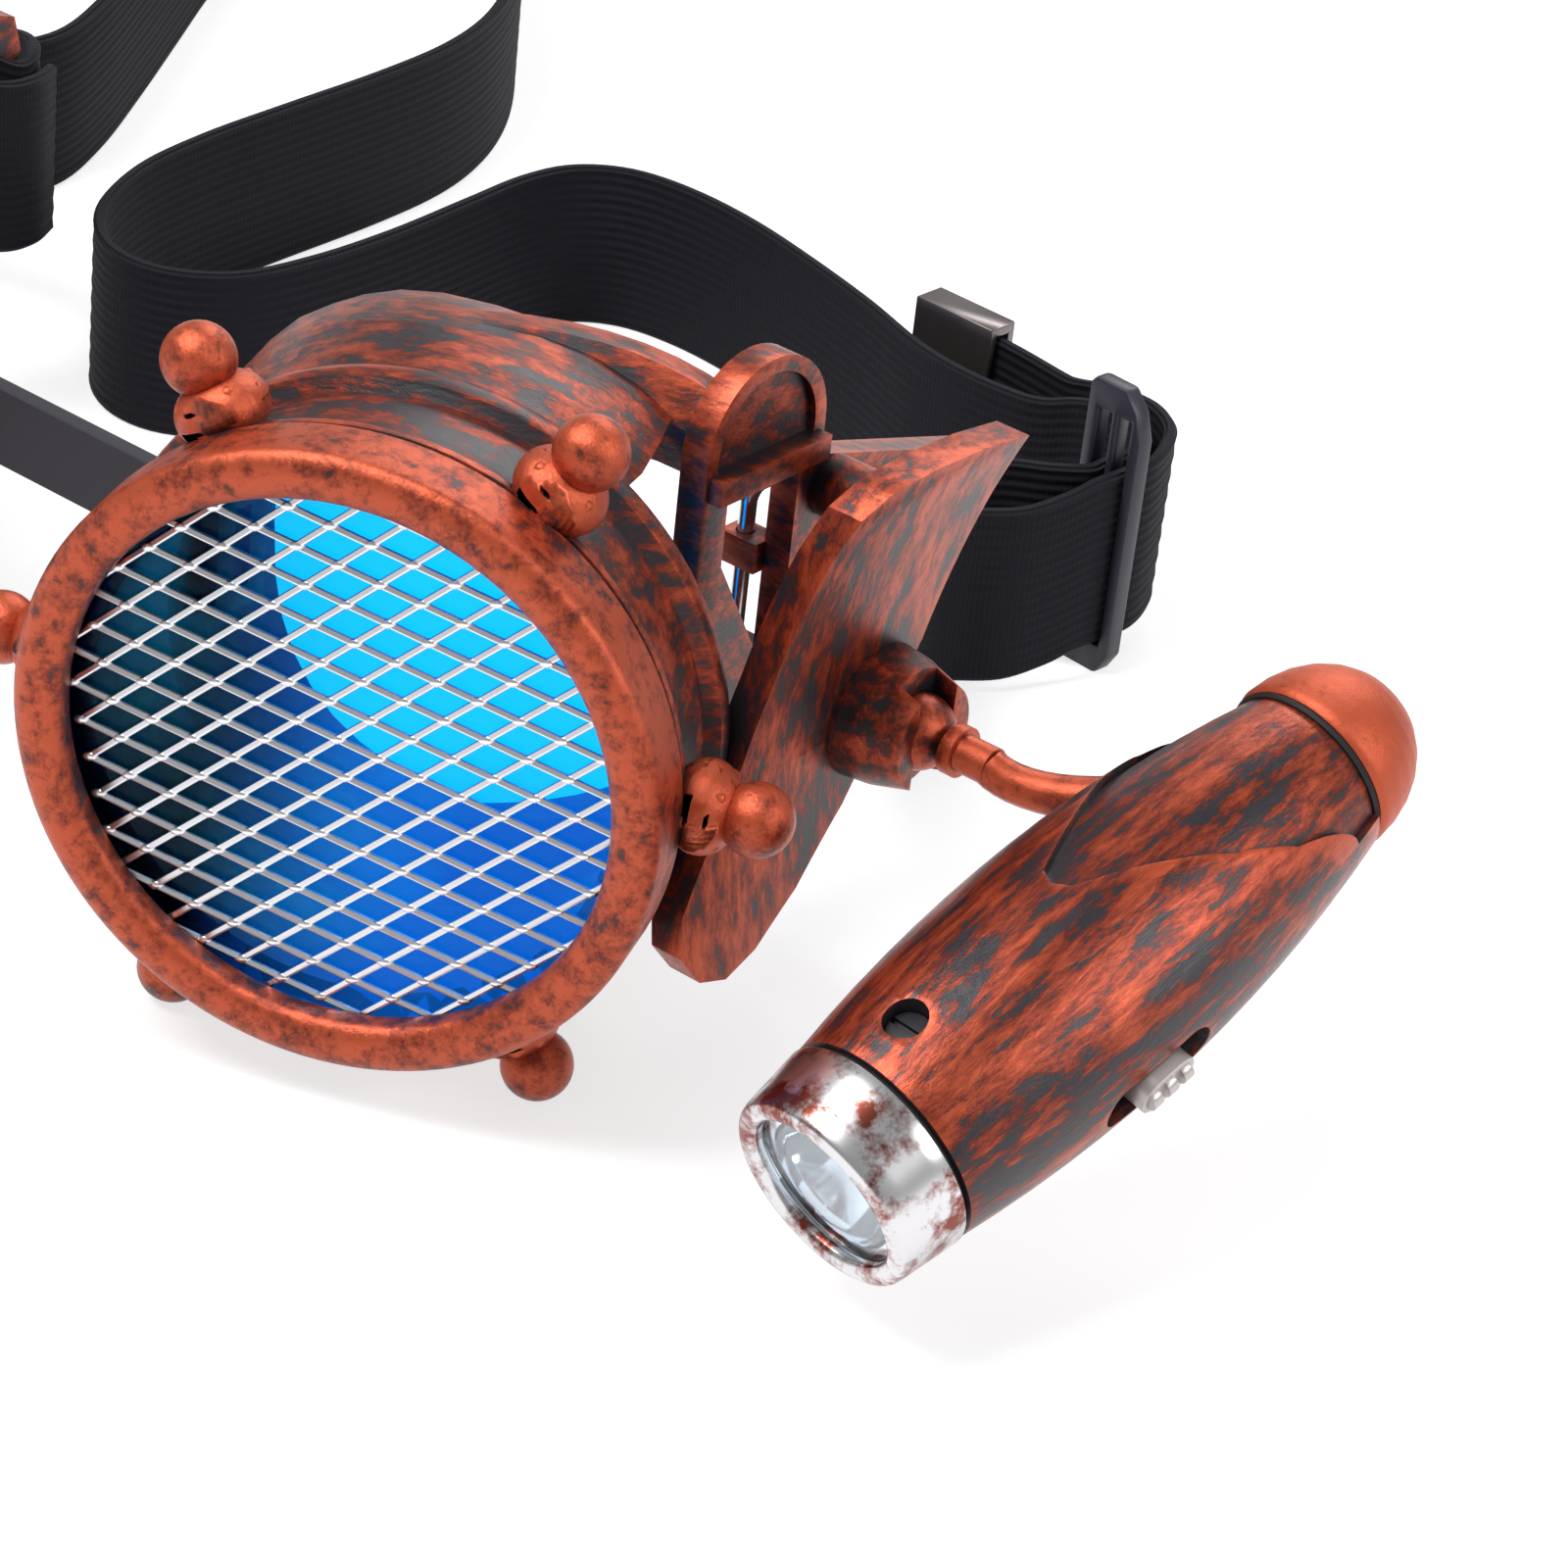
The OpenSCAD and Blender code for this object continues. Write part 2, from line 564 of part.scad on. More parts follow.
// Hollow side of the shield: the wall of a wide cylinder that lies along Y
module shield_shell(thickness) {
    translate([shield_x + shield_r, 0, shield_mid_z]) rotate([-90, 0, 0]) difference() {
        cylinder(r = shield_r, h = 90, $fn = 180);
        translate([0, 0, -1]) cylinder(r = shield_r - thickness, h = 92, $fn = 180);
    }
}

// Curved plate outside the lug that carries the torch's socket
module shield() {
    color(copper) difference() {
        union() {
            intersection() {
                shield_shell(shield_t);
                side_plate(shield_x - 1, shield_x + 16) polygon([
                    for (p = shield_edge) [p[0], axis_h + p[1]]
                ]);
            }
            for (p = post_places)
                translate([lug_x + lug_t + 0.02, p[0], p[1]]) rotate([0, 90, 0])
                    cylinder(d = post_d, h = shield_x + 1.6 - lug_x - lug_t, $fn = 36);
        }
        for (p = post_places)
            translate([lug_x + lug_t - 1, p[0], p[1]]) rotate([0, 90, 0])
                cylinder(d = screw_d + 0.1, h = 9, $fn = 24);
        translate([shield_x - 4, ball_at[1], ball_at[2]]) rotate([0, 90, 0])
            cylinder(d = screw_d + 0.3, h = 12, $fn = 24);
    }
}

// Screws from inside: two hold the shield to the lug and one holds the socket to the shield
module shield_screws() {
    color(silver) {
        for (p = post_places)
            translate([lug_x, p[0], p[1]]) rotate([0, 90, 0]) {
                cylinder(d = screw_d, h = lug_t + 7, $fn = 24);
                translate([0, 0, -1.2]) difference() {
                    cylinder(d = 2 * screw_d, h = 1.2, $fn = 36);
                    translate([-screw_d, -0.25, -0.1]) cube([2 * screw_d, 0.5, 0.6]);
                }
            }
        translate([shield_x, ball_at[1], ball_at[2]]) rotate([0, 90, 0]) {
            cylinder(d = screw_d, h = shield_t + 0.9, $fn = 24);
            translate([0, 0, -1.2]) difference() {
                cylinder(d = 2 * screw_d, h = 1.2, $fn = 36);
                translate([-screw_d, -0.25, -0.1]) cube([2 * screw_d, 0.5, 0.6]);
            }
        }
    }
}

// Socket: a domed cup with two jaws that hold the ball
module ball_socket() {
    r = socket_d / 2;
    base = -(ball_at[0] - shield_x - shield_t * 0.4);
    color(dark_copper) difference() {
        translate(ball_at) rotate([0, 90, 0]) difference() {
            rotate_extrude() polygon([
                [0, base], [r + 0.6, base], [r + 0.4, base + 1.6], [r, -2.2], [r - 0.5, -0.4],
                [r - 1.1, jaw_reach], [0, jaw_reach]
            ]);
            sphere(r = ball_r + ball_fit);
            // Slot between the jaws, from top to bottom
            translate([-r - 2, -jaw_gap / 2, -0.6]) cube([2 * r + 4, jaw_gap, jaw_reach + 2]);
            translate([0, 0, base - 1]) cylinder(d = screw_d + 0.1, h = 5, $fn = 24);
        }
        shield_shell(shield_t);
        translate([shield_x - 6, 0, 0]) cube([6, 90, 90]);
    }
}

// Ball with the stem that the arm turns on
module lamp_ball() {
    stem_a = acos(stem_d / 2 / ball_r);
    color(copper) translate(ball_at) rotate([0, 90, 0]) rotate_extrude() polygon(concat(
        [for (a = [-90 : 10 : stem_a]) [a == -90 ? 0 : ball_r * cos(a), ball_r * sin(a)]],
        [[stem_d / 2, ball_r * sin(stem_a)], [stem_d / 2, sleeve_x + sleeve_l - 1],
         [0, sleeve_x + sleeve_l - 1]]
    ));
}

// Curved arm from the ball's stem to the torch
module lamp_arm() {
    sides_n = 12;
    count = 10;
    start = ball_at + [sleeve_x + sleeve_l - 0.6, 0, 0];
    foot_s = body_end - 11.5;
    foot = torch_point(foot_s, 178, torch_r(foot_s) - 1.5);
    bend = ball_at + [11.5, 0.4, -2.2];
    path = [for (i = [0 : count]) let (t = i / count)
        start * (1 - t) * (1 - t) + 2 * bend * t * (1 - t) + foot * t * t];
    points = [for (i = [0 : count]) let (
        d = path[min(i + 1, count)] - path[max(i - 1, 0)],
        e = d / norm(d),
        u = cross(e, [0, 0, 1]) / norm(cross(e, [0, 0, 1])),
        v = cross(u, e),
        r = arm_d / 2 * (1 + 0.35 * pow(i / count, 3))
    ) each [for (k = [0 : sides_n - 1])
        path[i] + r * (u * cos(360 * k / sides_n) + v * sin(360 * k / sides_n))]];
    faces = [for (i = [0 : count - 1], k = [0 : sides_n - 1]) each [
        [sides_n * i + k, sides_n * i + (k + 1) % sides_n, sides_n * (i + 1) + k],
        [sides_n * i + (k + 1) % sides_n, sides_n * (i + 1) + (k + 1) % sides_n, sides_n * (i + 1) + k]
    ]];
    last = sides_n * count;
    caps = [for (k = [1 : sides_n - 2]) each [[0, k + 1, k], [last, last + k, last + k + 1]]];
    color(copper) difference() {
        union() {
            translate(ball_at + [sleeve_x, 0, 0]) rotate([0, 90, 0]) {
                cylinder(d = arm_d + 1.2, h = 1.3, $fn = 36);
                cylinder(d = arm_d, h = sleeve_l, $fn = 36);
            }
            polyhedron(points, concat(faces, caps));
        }
        translate(ball_at + [sleeve_x - 1, 0, 0]) rotate([0, 90, 0])
            cylinder(d = stem_d + 0.12, h = sleeve_l + 0.2, $fn = 36);
        torch_place() turned(torch_skin(0));
    }
}

// Radius of the torch's skin at a distance behind its rim
function torch_r(s) =
    s < head_l ? torch_d * 0.4 + 0.1 * s :
    s < widest_s ? torch_d / 2 - 0.0036 * (s - widest_s) * (s - widest_s) :
    s <= body_end ? torch_d / 2 - tail_drop * pow((s - widest_s) / (body_end - widest_s), 2) :
    (torch_d / 2 - tail_drop) * sqrt(max(0, 1 - pow((s - body_end) / tail_l, 2)));
// A point on or in the torch, by distance, angle round it and radius
function torch_point(s, angle, r) =
    let (side = [cos(torch_yaw), -sin(torch_yaw), 0], top = cross(side, torch_dir))
    torch_nose + s * torch_dir + r * (side * cos(angle) + top * sin(angle));
body_steps = [for (k = [0 : 14]) body_y + (body_end - body_y) * k / 14];
function torch_skin(inset) =
    concat([[0, body_y]], [for (s = body_steps) [torch_r(s) - inset, s]], [[0, body_end]]);

module torch_place() {
    translate(torch_nose) rotate([0, 0, -torch_yaw]) rotate([torch_pitch, 0, 0]) children();
}

spigot_r = torch_window_d / 2 + 1.1;
bore_front_r = spigot_r - 1.2;
cell_bore_r = cell_d / 2 + 0.2;
core_r = cell_bore_r - 1;
tail_bore_r = cell_bore_r + 0.9;
cells_front = cells_end - cell_count * cell_t;
slot_s = cells_front - 5.1;
slot_angle = -16;
screw_s = body_y + 5;

// Right side of the V shaped hollow, as half widths and places from the body's rear end
hollow_side = [
    [0.2, -30.3], [1.6, -29.5], [4.6, -22.7], [7.4, -16.5], [9.1, -10.5], [9.4, -3.5], [9.2, 1]
];

// Torch body: a bullet with a hollow at the tail, a screw hole and a switch slot
module lamp_body() {
    slot_l = knob_l + 2 * switch_travel + 0.6;
    color(dark_copper) torch_place() difference() {
        union() {
            turned(torch_skin(0));
            turned([[0, 3], [spigot_r, 3], [spigot_r, body_y + 1], [0, body_y + 1]]);
        }
        turned([[0, 2], [bore_front_r, 2], [bore_front_r, board_y], [core_r, board_y], [core_r, cells_front],
            [cell_bore_r, cells_front], [cell_bore_r, cells_end + 0.4], [tail_bore_r, cells_end + 0.4],
            [tail_bore_r, body_end + 1], [0, body_end + 1]]);
        // V shaped hollow on top of the tail half
        intersection() {
            linear_extrude(torch_d) polygon(concat(
                [for (p = hollow_side) [p[0], body_end + p[1]]],
                [for (i = [len(hollow_side) - 1 : -1 : 0]) let (p = hollow_side[i]) [-p[0], body_end + p[1]]]
            ));
            difference() {
                translate([-torch_d, body_y, 0]) cube([2 * torch_d, torch_l, torch_d]);
                turned(torch_skin(0.7));
            }
        }
        // Switch slot: a recess for the knob and a narrower way through for its stem
        rotate([0, -slot_angle, 0]) {
            translate([8.6, slot_s, 0]) rotate([0, 90, 0]) linear_extrude(8)
                slot_shape(slot_l, knob_w + 0.5);
            translate([core_r - 1, slot_s, 0]) rotate([0, 90, 0]) linear_extrude(8)
                slot_shape(2 * switch_travel + 3.4, 2.4);
        }
        // Screw hole near the head
        translate([0, screw_s, 0]) {
            translate([0, 0, 8.6]) cylinder(d = 4, h = 6, $fn = 36);
            translate([0, 0, 4]) cylinder(d = screw_d, h = 6, $fn = 24);
        }
    }
}

module slot_shape(length, width) {
    for (y = [-1, 1]) translate([0, y * (length - width) / 2]) circle(d = width, $fn = 36);
    square([width, length - width], center = true);
}

module lamp_head() {
    rim = torch_r(0);
    color(silver) torch_place() turned([
        [torch_window_d / 2, 0.5], [torch_window_d / 2 + 0.5, 0], [rim - 0.7, 0], [rim - 0.2, 0.3],
        [rim, 0.9], [torch_r(head_l - 0.01), head_l], [spigot_r + thread_fit, head_l],
        [spigot_r + thread_fit, 2.2],
        [spigot_r - 0.4, 1.3], [torch_window_d / 2, 1.3]
    ]);
}

module lamp_lens() {
    color("#dfe9f2") torch_place() turned([
        [0, 1.3], [spigot_r - 0.5, 1.3], [spigot_r - 0.5, 2.2], [0, 2.2]
    ]);
}

// Reflector: a flange under the lens and a bowl down to the lamp
module lamp_reflector() {
    depth = 8;
    wall = 0.7;
    bowl = [for (k = [0 : 8]) [2.1 + (bore_front_r - 0.9 - 2.1) * sqrt(k / 8), 2.9 + depth * (1 - k / 8)]];
    outer = [for (k = [8 : -1 : 0]) [bowl[k][0] + wall, bowl[k][1] + (k == 8 ? 0 : 0.3)]];
    color(silver) torch_place() turned(concat(
        bowl, [[bore_front_r - 0.9, 2.25], [spigot_r - 0.1, 2.25], [spigot_r - 0.1, 3]], outer
    ));
}

// Round board with its domed lamp in the reflector's throat
module lamp_led() {
    color("#f4f6e8") torch_place() {
        turned([[0, 11.4], [bore_front_r - 0.1, 11.4], [bore_front_r - 0.1, board_y], [0, board_y]]);
        turned(concat(
            [[0, 11.5], [1.9, 11.5], [1.9, 9.4]],
            [for (a = [15 : 15 : 90]) [1.9 * cos(a), 9.4 - 1.9 * sin(a)]]
        ));
    }
}

// Rubber rings in the two dark gaps of the torch
module lamp_seals() {
    color(black) torch_place() {
        turned([[spigot_r + 0.05, head_l + 0.02], [torch_r(head_l) - 0.5, head_l + 0.02],
            [torch_r(head_l) - 0.3, head_l + gap_w / 2], [torch_r(head_l) - 0.5, body_y],
            [spigot_r + 0.05, body_y]]);
        turned([[tail_bore_r, body_end], [torch_r(body_end) - 0.5, body_end],
            [torch_r(body_end) - 0.3, body_end + gap_w / 2],
            [torch_r(body_end) - 0.5, body_end + gap_w - 0.02],
            [tail_bore_r, body_end + gap_w - 0.02]]);
    }
}

// Switch knob with three ribs, on a stem that goes through the slot
module lamp_switch() {
    top_r = torch_d / 2 + 0.9;
    color(silver) torch_place() rotate([0, -slot_angle, 0]) translate([0, slot_s, 0]) {
        translate([9, 0, 0]) rotate([0, 90, 0]) linear_extrude(top_r - 9) slot_shape(knob_l, knob_w);
        for (k = [-1 : 1])
            translate([top_r - 0.3, k * knob_l / 3.4, 0]) rotate([90, 0, 0])
                translate([0, 0, -0.55]) cylinder(d = knob_w * 0.5, h = 1.1, $fn = 24);
        translate([core_r + 0.3, 0, 0]) rotate([0, 90, 0])
            linear_extrude(9.5 - core_r) slot_shape(2.8, 2);
    }
}

// Tail cone with the hollow plug that screws into the body
module lamp_tail() {
    from = body_end + gap_w;
    edge = torch_r(body_end) - 0.1;
    cone = [for (k = [0 : 7])
        [edge * cos(90 * k / 8), from + 0.6 + (torch_l - from - 0.6) * sin(90 * k / 8)]];
    color(copper) torch_place() turned(concat(
        [[0, from + 1.5], [cell_bore_r - 0.6, from + 1.5], [cell_bore_r - 0.6, cells_end + 1],
         [tail_bore_r - thread_fit, cells_end + 1], [tail_bore_r - thread_fit, from], [edge - 0.3, from]],
        cone, [[0, torch_l]]
    ));
}

module lamp_cells() {
    color("#c9c9cc") torch_place() for (k = [0 : cell_count - 1]) {
        back = cells_end - k * cell_t;
        turned([
            [0, back - cell_t + 0.02], [cell_d / 2 - 0.9, back - cell_t + 0.02],
            [cell_d / 2, back - cell_t + 0.6], [cell_d / 2, back], [0, back]
        ]);
    }
}

// Conical contact spring between the cells and the tail
module lamp_spring() {
    turns = 4;
    per_turn = 10;
    wire = 0.7;
    from = cells_end + 0.02 + wire / 2;
    to = body_end + gap_w + 1.48 - wire / 2;
    n = turns * per_turn;
    function coil(i) = let (t = i / n, r = 2.4 + 1.8 * t)
        [r * cos(360 * i / per_turn), from + (to - from) * t, r * sin(360 * i / per_turn)];
    path = [for (i = [0 : n]) coil(i)];
    points = [for (i = [0 : n]) let (
        a = 360 * i / per_turn,
        out = [cos(a), 0, sin(a)]
    ) each [for (k = [0 : 5]) path[i] + wire / 2 * (out * cos(60 * k) + [0, 1, 0] * sin(60 * k))]];
    faces = [for (i = [0 : n - 1], k = [0 : 5]) each [
        [6 * i + k, 6 * i + (k + 1) % 6, 6 * i + 6 + k],
        [6 * i + (k + 1) % 6, 6 * i + 6 + (k + 1) % 6, 6 * i + 6 + k]
    ]];
    caps = [for (k = [1 : 4]) each [[0, k + 1, k], [6 * n, 6 * n + k, 6 * n + k + 1]]];
    color(silver) torch_place() polyhedron(points, concat(faces, caps));
}

module lamp_screw() {
    color(black) torch_place() translate([0, screw_s, 0]) difference() {
        union() {
            translate([0, 0, 8.6]) cylinder(d = 3.7, h = 0.9, $fn = 36);
            translate([0, 0, 7.4]) cylinder(d = screw_d - 0.1, h = 1.3, $fn = 24);
        }
        translate([-3, -0.3, 9]) cube([6, 0.6, 1]);
    }
}

// Flat band over the nose, with its ends in the tabs of the two cups
module nose_band() {
    half = tab_x + 6;
    color(black) translate([-half, band_y, axis_h - nose_w / 2]) cube([2 * half, nose_t, nose_w]);
}

module strap_free_end() {
    color(black) level_strap(0);
}

module strap_turn() {
    color(black) {
        rising_strap(1);
        rising_strap(5);
    }
}

module strap_adjuster() {
    color(black) {
        rising_strap(2);
        rising_strap(4);
    }
}

module strap_left_loop() {
    color(black) rising_strap(3);
}

module strap_run() {
    color(black) level_strap(6);
}

module strap_near_fold() {
    color(black) level_strap(7);
}

module strap_rear_run() {
    color(black) level_strap(8);
}

module strap_far_fold() {
    color(black) level_strap(9);
}

module strap_right_side() {
    color(black) level_strap(10);
}

module strap_right_loop() {
    color(black) rising_strap(11);
}

// Slider: a flat plate with two slots and a bar between them
module slider_buckle() {
    height = slider_slot + 2 * slider_bar;
    slot_w = strap_t + 0.4;
    side_w = 1.5;
    half = layer_gap + slot_w / 2 + side_w;
    color(black) translate([slider_at[0], slider_at[1], 0]) rotate([0, 0, slider_turn]) difference() {
        translate([0, slider_t / 2, 0]) rotate([90, 0, 0]) linear_extrude(slider_t) polygon([
            [-half, 0.8], [-half + 0.8, 0], [half - 1.4, 0], [half, 2.4], [half, height - 5],
            [half - 1, height - 2], [half - 2.8, height], [-half + 0.6, height], [-half, height - 0.6]
        ]);
        for (side = [-1, 1])
            translate([side * layer_gap - slot_w / 2, -slider_t, slider_bar])
                cube([slot_w, 2 * slider_t, slider_slot]);
    }
}

// Folded metal clip that closes the strap's free end
module strap_clip() {
    start = free_end[0];
    next = free_end[1];
    angle = atan2(next[1] - start[1], next[0] - start[0]);
    height = strap_w + 1.4;
    color(black) translate([start[0], start[1], 0]) rotate([0, 0, angle]) difference() {
        translate([-1.4, -2, 0]) cube([clip_l, 4, height]);
        translate([-0.02, -strap_t / 2 - 0.3, -1]) cube([clip_l, strap_t + 0.6, strap_w + 1.2]);
    }
}

module left() {
    translate(-origin) children();
}

module right() {
    translate(-origin) mirror([1, 0, 0]) children();
}

module middle() {
    translate(-origin) children();
}

left() eyecup();  // left_eyecup
left() bezel();  // left_bezel
left() mesh();  // left_mesh
left() lens();  // left_lens
left() studs();  // left_studs
left() strap_ring();  // left_strap_ring
left() shield();  // left_shield
left() shield_screws();  // left_shield_screws
left() ball_socket();  // left_ball_socket
left() lamp_ball();  // left_lamp_ball
left() lamp_arm();  // left_lamp_arm
left() lamp_body();  // left_lamp_body
left() lamp_head();  // left_lamp_head
left() lamp_lens();  // left_lamp_lens
left() lamp_reflector();  // left_lamp_reflector
left() lamp_led();  // left_lamp_led
left() lamp_seals();  // left_lamp_seals
left() lamp_switch();  // left_lamp_switch
left() lamp_tail();  // left_lamp_tail
left() lamp_cells();  // left_lamp_cells
left() lamp_spring();  // left_lamp_spring
left() lamp_screw();  // left_lamp_screw
right() eyecup();  // right_eyecup
right() bezel();  // right_bezel
right() mesh();  // right_mesh
right() lens();  // right_lens
right() studs();  // right_studs
right() strap_ring();  // right_strap_ring
right() shield();  // right_shield
right() shield_screws();  // right_shield_screws
right() ball_socket();  // right_ball_socket
right() lamp_ball();  // right_lamp_ball
right() lamp_arm();  // right_lamp_arm
right() lamp_body();  // right_lamp_body
right() lamp_head();  // right_lamp_head
right() lamp_lens();  // right_lamp_lens
right() lamp_reflector();  // right_lamp_reflector
right() lamp_led();  // right_lamp_led
right() lamp_seals();  // right_lamp_seals
right() lamp_switch();  // right_lamp_switch
right() lamp_tail();  // right_lamp_tail
right() lamp_cells();  // right_lamp_cells
right() lamp_spring();  // right_lamp_spring
right() lamp_screw();  // right_lamp_screw
middle() nose_band();
middle() strap_left_loop();
middle() strap_adjuster();
middle() strap_turn();
middle() strap_free_end();
middle() strap_run();
middle() strap_near_fold();
middle() strap_rear_run();
middle() strap_far_fold();
middle() strap_right_side();
middle() strap_right_loop();
middle() slider_buckle();
middle() strap_clip();
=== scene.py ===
import math

import bmesh
import bpy
from mathutils import Matrix, Vector


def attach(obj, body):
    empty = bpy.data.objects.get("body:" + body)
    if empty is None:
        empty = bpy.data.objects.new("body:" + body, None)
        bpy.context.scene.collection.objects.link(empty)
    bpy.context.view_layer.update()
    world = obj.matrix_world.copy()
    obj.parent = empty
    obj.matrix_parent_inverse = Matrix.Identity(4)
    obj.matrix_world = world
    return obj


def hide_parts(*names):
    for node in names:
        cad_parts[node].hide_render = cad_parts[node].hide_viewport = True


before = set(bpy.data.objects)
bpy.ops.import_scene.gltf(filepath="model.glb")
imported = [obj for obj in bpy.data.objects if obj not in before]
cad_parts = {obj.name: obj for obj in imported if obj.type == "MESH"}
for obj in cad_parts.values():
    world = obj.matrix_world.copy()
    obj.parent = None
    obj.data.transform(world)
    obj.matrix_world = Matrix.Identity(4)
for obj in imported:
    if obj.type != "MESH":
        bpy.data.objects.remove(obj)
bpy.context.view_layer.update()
bpy.ops.object.select_all(action="DESELECT")

# Camera: a long lens, looking down at the wearer's left cup from its front
# and outer side, with a slight roll.
FOCAL_LENGTH, SENSOR_WIDTH, NEAR_CLIP = 108.74, 36, 0.01
camera_at = Vector((0.29904, -0.35723, 0.23910))
camera_right = Vector((0.768, 0.632, 0.100)).normalized()
camera_back = Vector((0.507, -0.697, 0.507)).normalized()
camera_up = camera_back.cross(camera_right).normalized()
camera_right = camera_up.cross(camera_back)
camera_turn = Matrix((camera_right, camera_up, camera_back)).transposed()
camera_data = bpy.data.cameras.new("camera")
camera_data.lens = FOCAL_LENGTH
camera_data.sensor_width = SENSOR_WIDTH
camera_data.clip_start = NEAR_CLIP
camera = bpy.data.objects.new("camera", camera_data)
bpy.context.scene.collection.objects.link(camera)
camera.matrix_world = Matrix.Translation(camera_at) @ camera_turn.to_4x4()
bpy.context.scene.camera = camera

# Floor and light: a white table under a soft studio light. The table's glow
# shows only to the camera and in gloss and glass, so that it looks white there
# and doesn't light the goggles from below.
TABLE_SIZE, TABLE_GLOW, STUDIO_FILL = 8, 0.72, 0.34
TABLE_GREY, WHITE = (0.42, 0.42, 0.43, 1), (1, 1, 1, 1)


def set_sockets(finish, node, sockets):
    for socket, value in sockets.items():
        if isinstance(value, bpy.types.NodeSocket):
            finish.node_tree.links.new(value, node.inputs[socket])
        else:
            node.inputs[socket].default_value = value


def set_surface(finish, sockets):
    set_sockets(finish, finish.node_tree.nodes["Principled BSDF"], sockets)


def new_finish(name, sockets):
    finish = bpy.data.materials.new(name)
    finish.use_nodes = True
    set_surface(finish, sockets)
    return finish


def add_step(finish, kind, sockets, **options):
    node = finish.node_tree.nodes.new(kind)
    for option, value in options.items():
        setattr(node, option, value)
    set_sockets(finish, node, sockets)
    return node.outputs


def add_softbox(name, at, aim, size, watts):
    data = bpy.data.lights.new(name, "AREA")
    data.shape = "RECTANGLE"
    data.size, data.size_y = size
    data.energy = watts
    lamp = bpy.data.objects.new(name, data)
    bpy.context.scene.collection.objects.link(lamp)
    lamp.location = at
    lamp.rotation_euler = (Vector(aim) - Vector(at)).to_track_quat("-Z", "Y").to_euler()


white_table = new_finish("white table", {
    "Base Color": TABLE_GREY, "Roughness": 0.9, "Specular IOR Level": 0.0, "Emission Color": WHITE})
ray = add_step(white_table, "ShaderNodeLightPath", {})
seen = add_step(white_table, "ShaderNodeMath", {0: ray["Is Camera Ray"], 1: ray["Is Glossy Ray"]},
                operation="MAXIMUM")
seen = add_step(white_table, "ShaderNodeMath", {0: seen[0], 1: ray["Is Transmission Ray"]},
                operation="MAXIMUM")
glow = add_step(white_table, "ShaderNodeMath", {0: seen[0], 1: TABLE_GLOW}, operation="MULTIPLY")
set_surface(white_table, {"Emission Strength": glow[0]})
bpy.ops.mesh.primitive_plane_add(size=TABLE_SIZE, location=(0, 0, 0))
table_top = bpy.context.object
table_top.name = "table_top"
table_top.data.materials.append(white_table)

world = bpy.data.worlds.new("studio")
world.use_nodes = True
set_sockets(world, world.node_tree.nodes["Background"], {"Color": WHITE, "Strength": STUDIO_FILL})
bpy.context.scene.world = world
bpy.context.scene.view_settings.view_transform = "Standard"
add_softbox("key softbox", at=(-0.20, -0.45, 0.95), aim=(0.03, -0.06, 0.03), size=(0.45, 0.45), watts=11.0)
add_softbox("side softbox", at=(0.95, 0.15, 0.55), aim=(0.05, -0.05, 0.03), size=(0.35, 0.35), watts=4.0)
add_softbox("back softbox", at=(-0.25, 0.85, 0.75), aim=(0.0, 0.0, 0.03), size=(0.7, 0.3), watts=5.0)


# Front rings: screw-on plastic rings with a rounded face, black all through.
# Copper paint is brushed over them, so it stays on edges and misses hollows.
BLACK_PLASTIC = (0.017, 0.014, 0.018, 1)
THIN_COPPER, THICK_COPPER = (0.110, 0.016, 0.011, 1), (0.520, 0.088, 0.034, 1)
PAINT_EDGE, PAINT_BODY, PAINT_METAL = 0.05, 0.42, 0.6
PATCH_SCALE, PATCH_SHARE, STROKE_SHARE, GRAIN_SHIFT = 0.22, 0.7, 2.1, -1.4
HOLLOW_REACH, HOLLOW_SHARE, EDGE_REACH, EDGE_SHARE, HOLLOW_RAYS = 0.005, 0.5, 0.0012, 0.35, 6
BRUSH_RELIEF, BRUSH_DEPTH = 0.35, 0.0002
WELD_REACH, BEVEL_STEPS, SHARP_ANGLE = 1e-6, 2, math.radians(32)


def add_weighed(finish, first, first_share, second, second_share, shift=0.0):
    part = add_step(finish, "ShaderNodeMath", {0: first, 1: first_share, 2: shift},
                    operation="MULTIPLY_ADD")
    both = add_step(finish, "ShaderNodeMath", {0: second, 1: second_share, 2: part[0]},
                    operation="MULTIPLY_ADD")
    return both[0]


def add_relief(finish, height, strength, depth):
    relief = add_step(finish, "ShaderNodeBump", {"Strength": strength, "Distance": depth, "Height": height})
    set_surface(finish, {"Normal": relief["Normal"]})


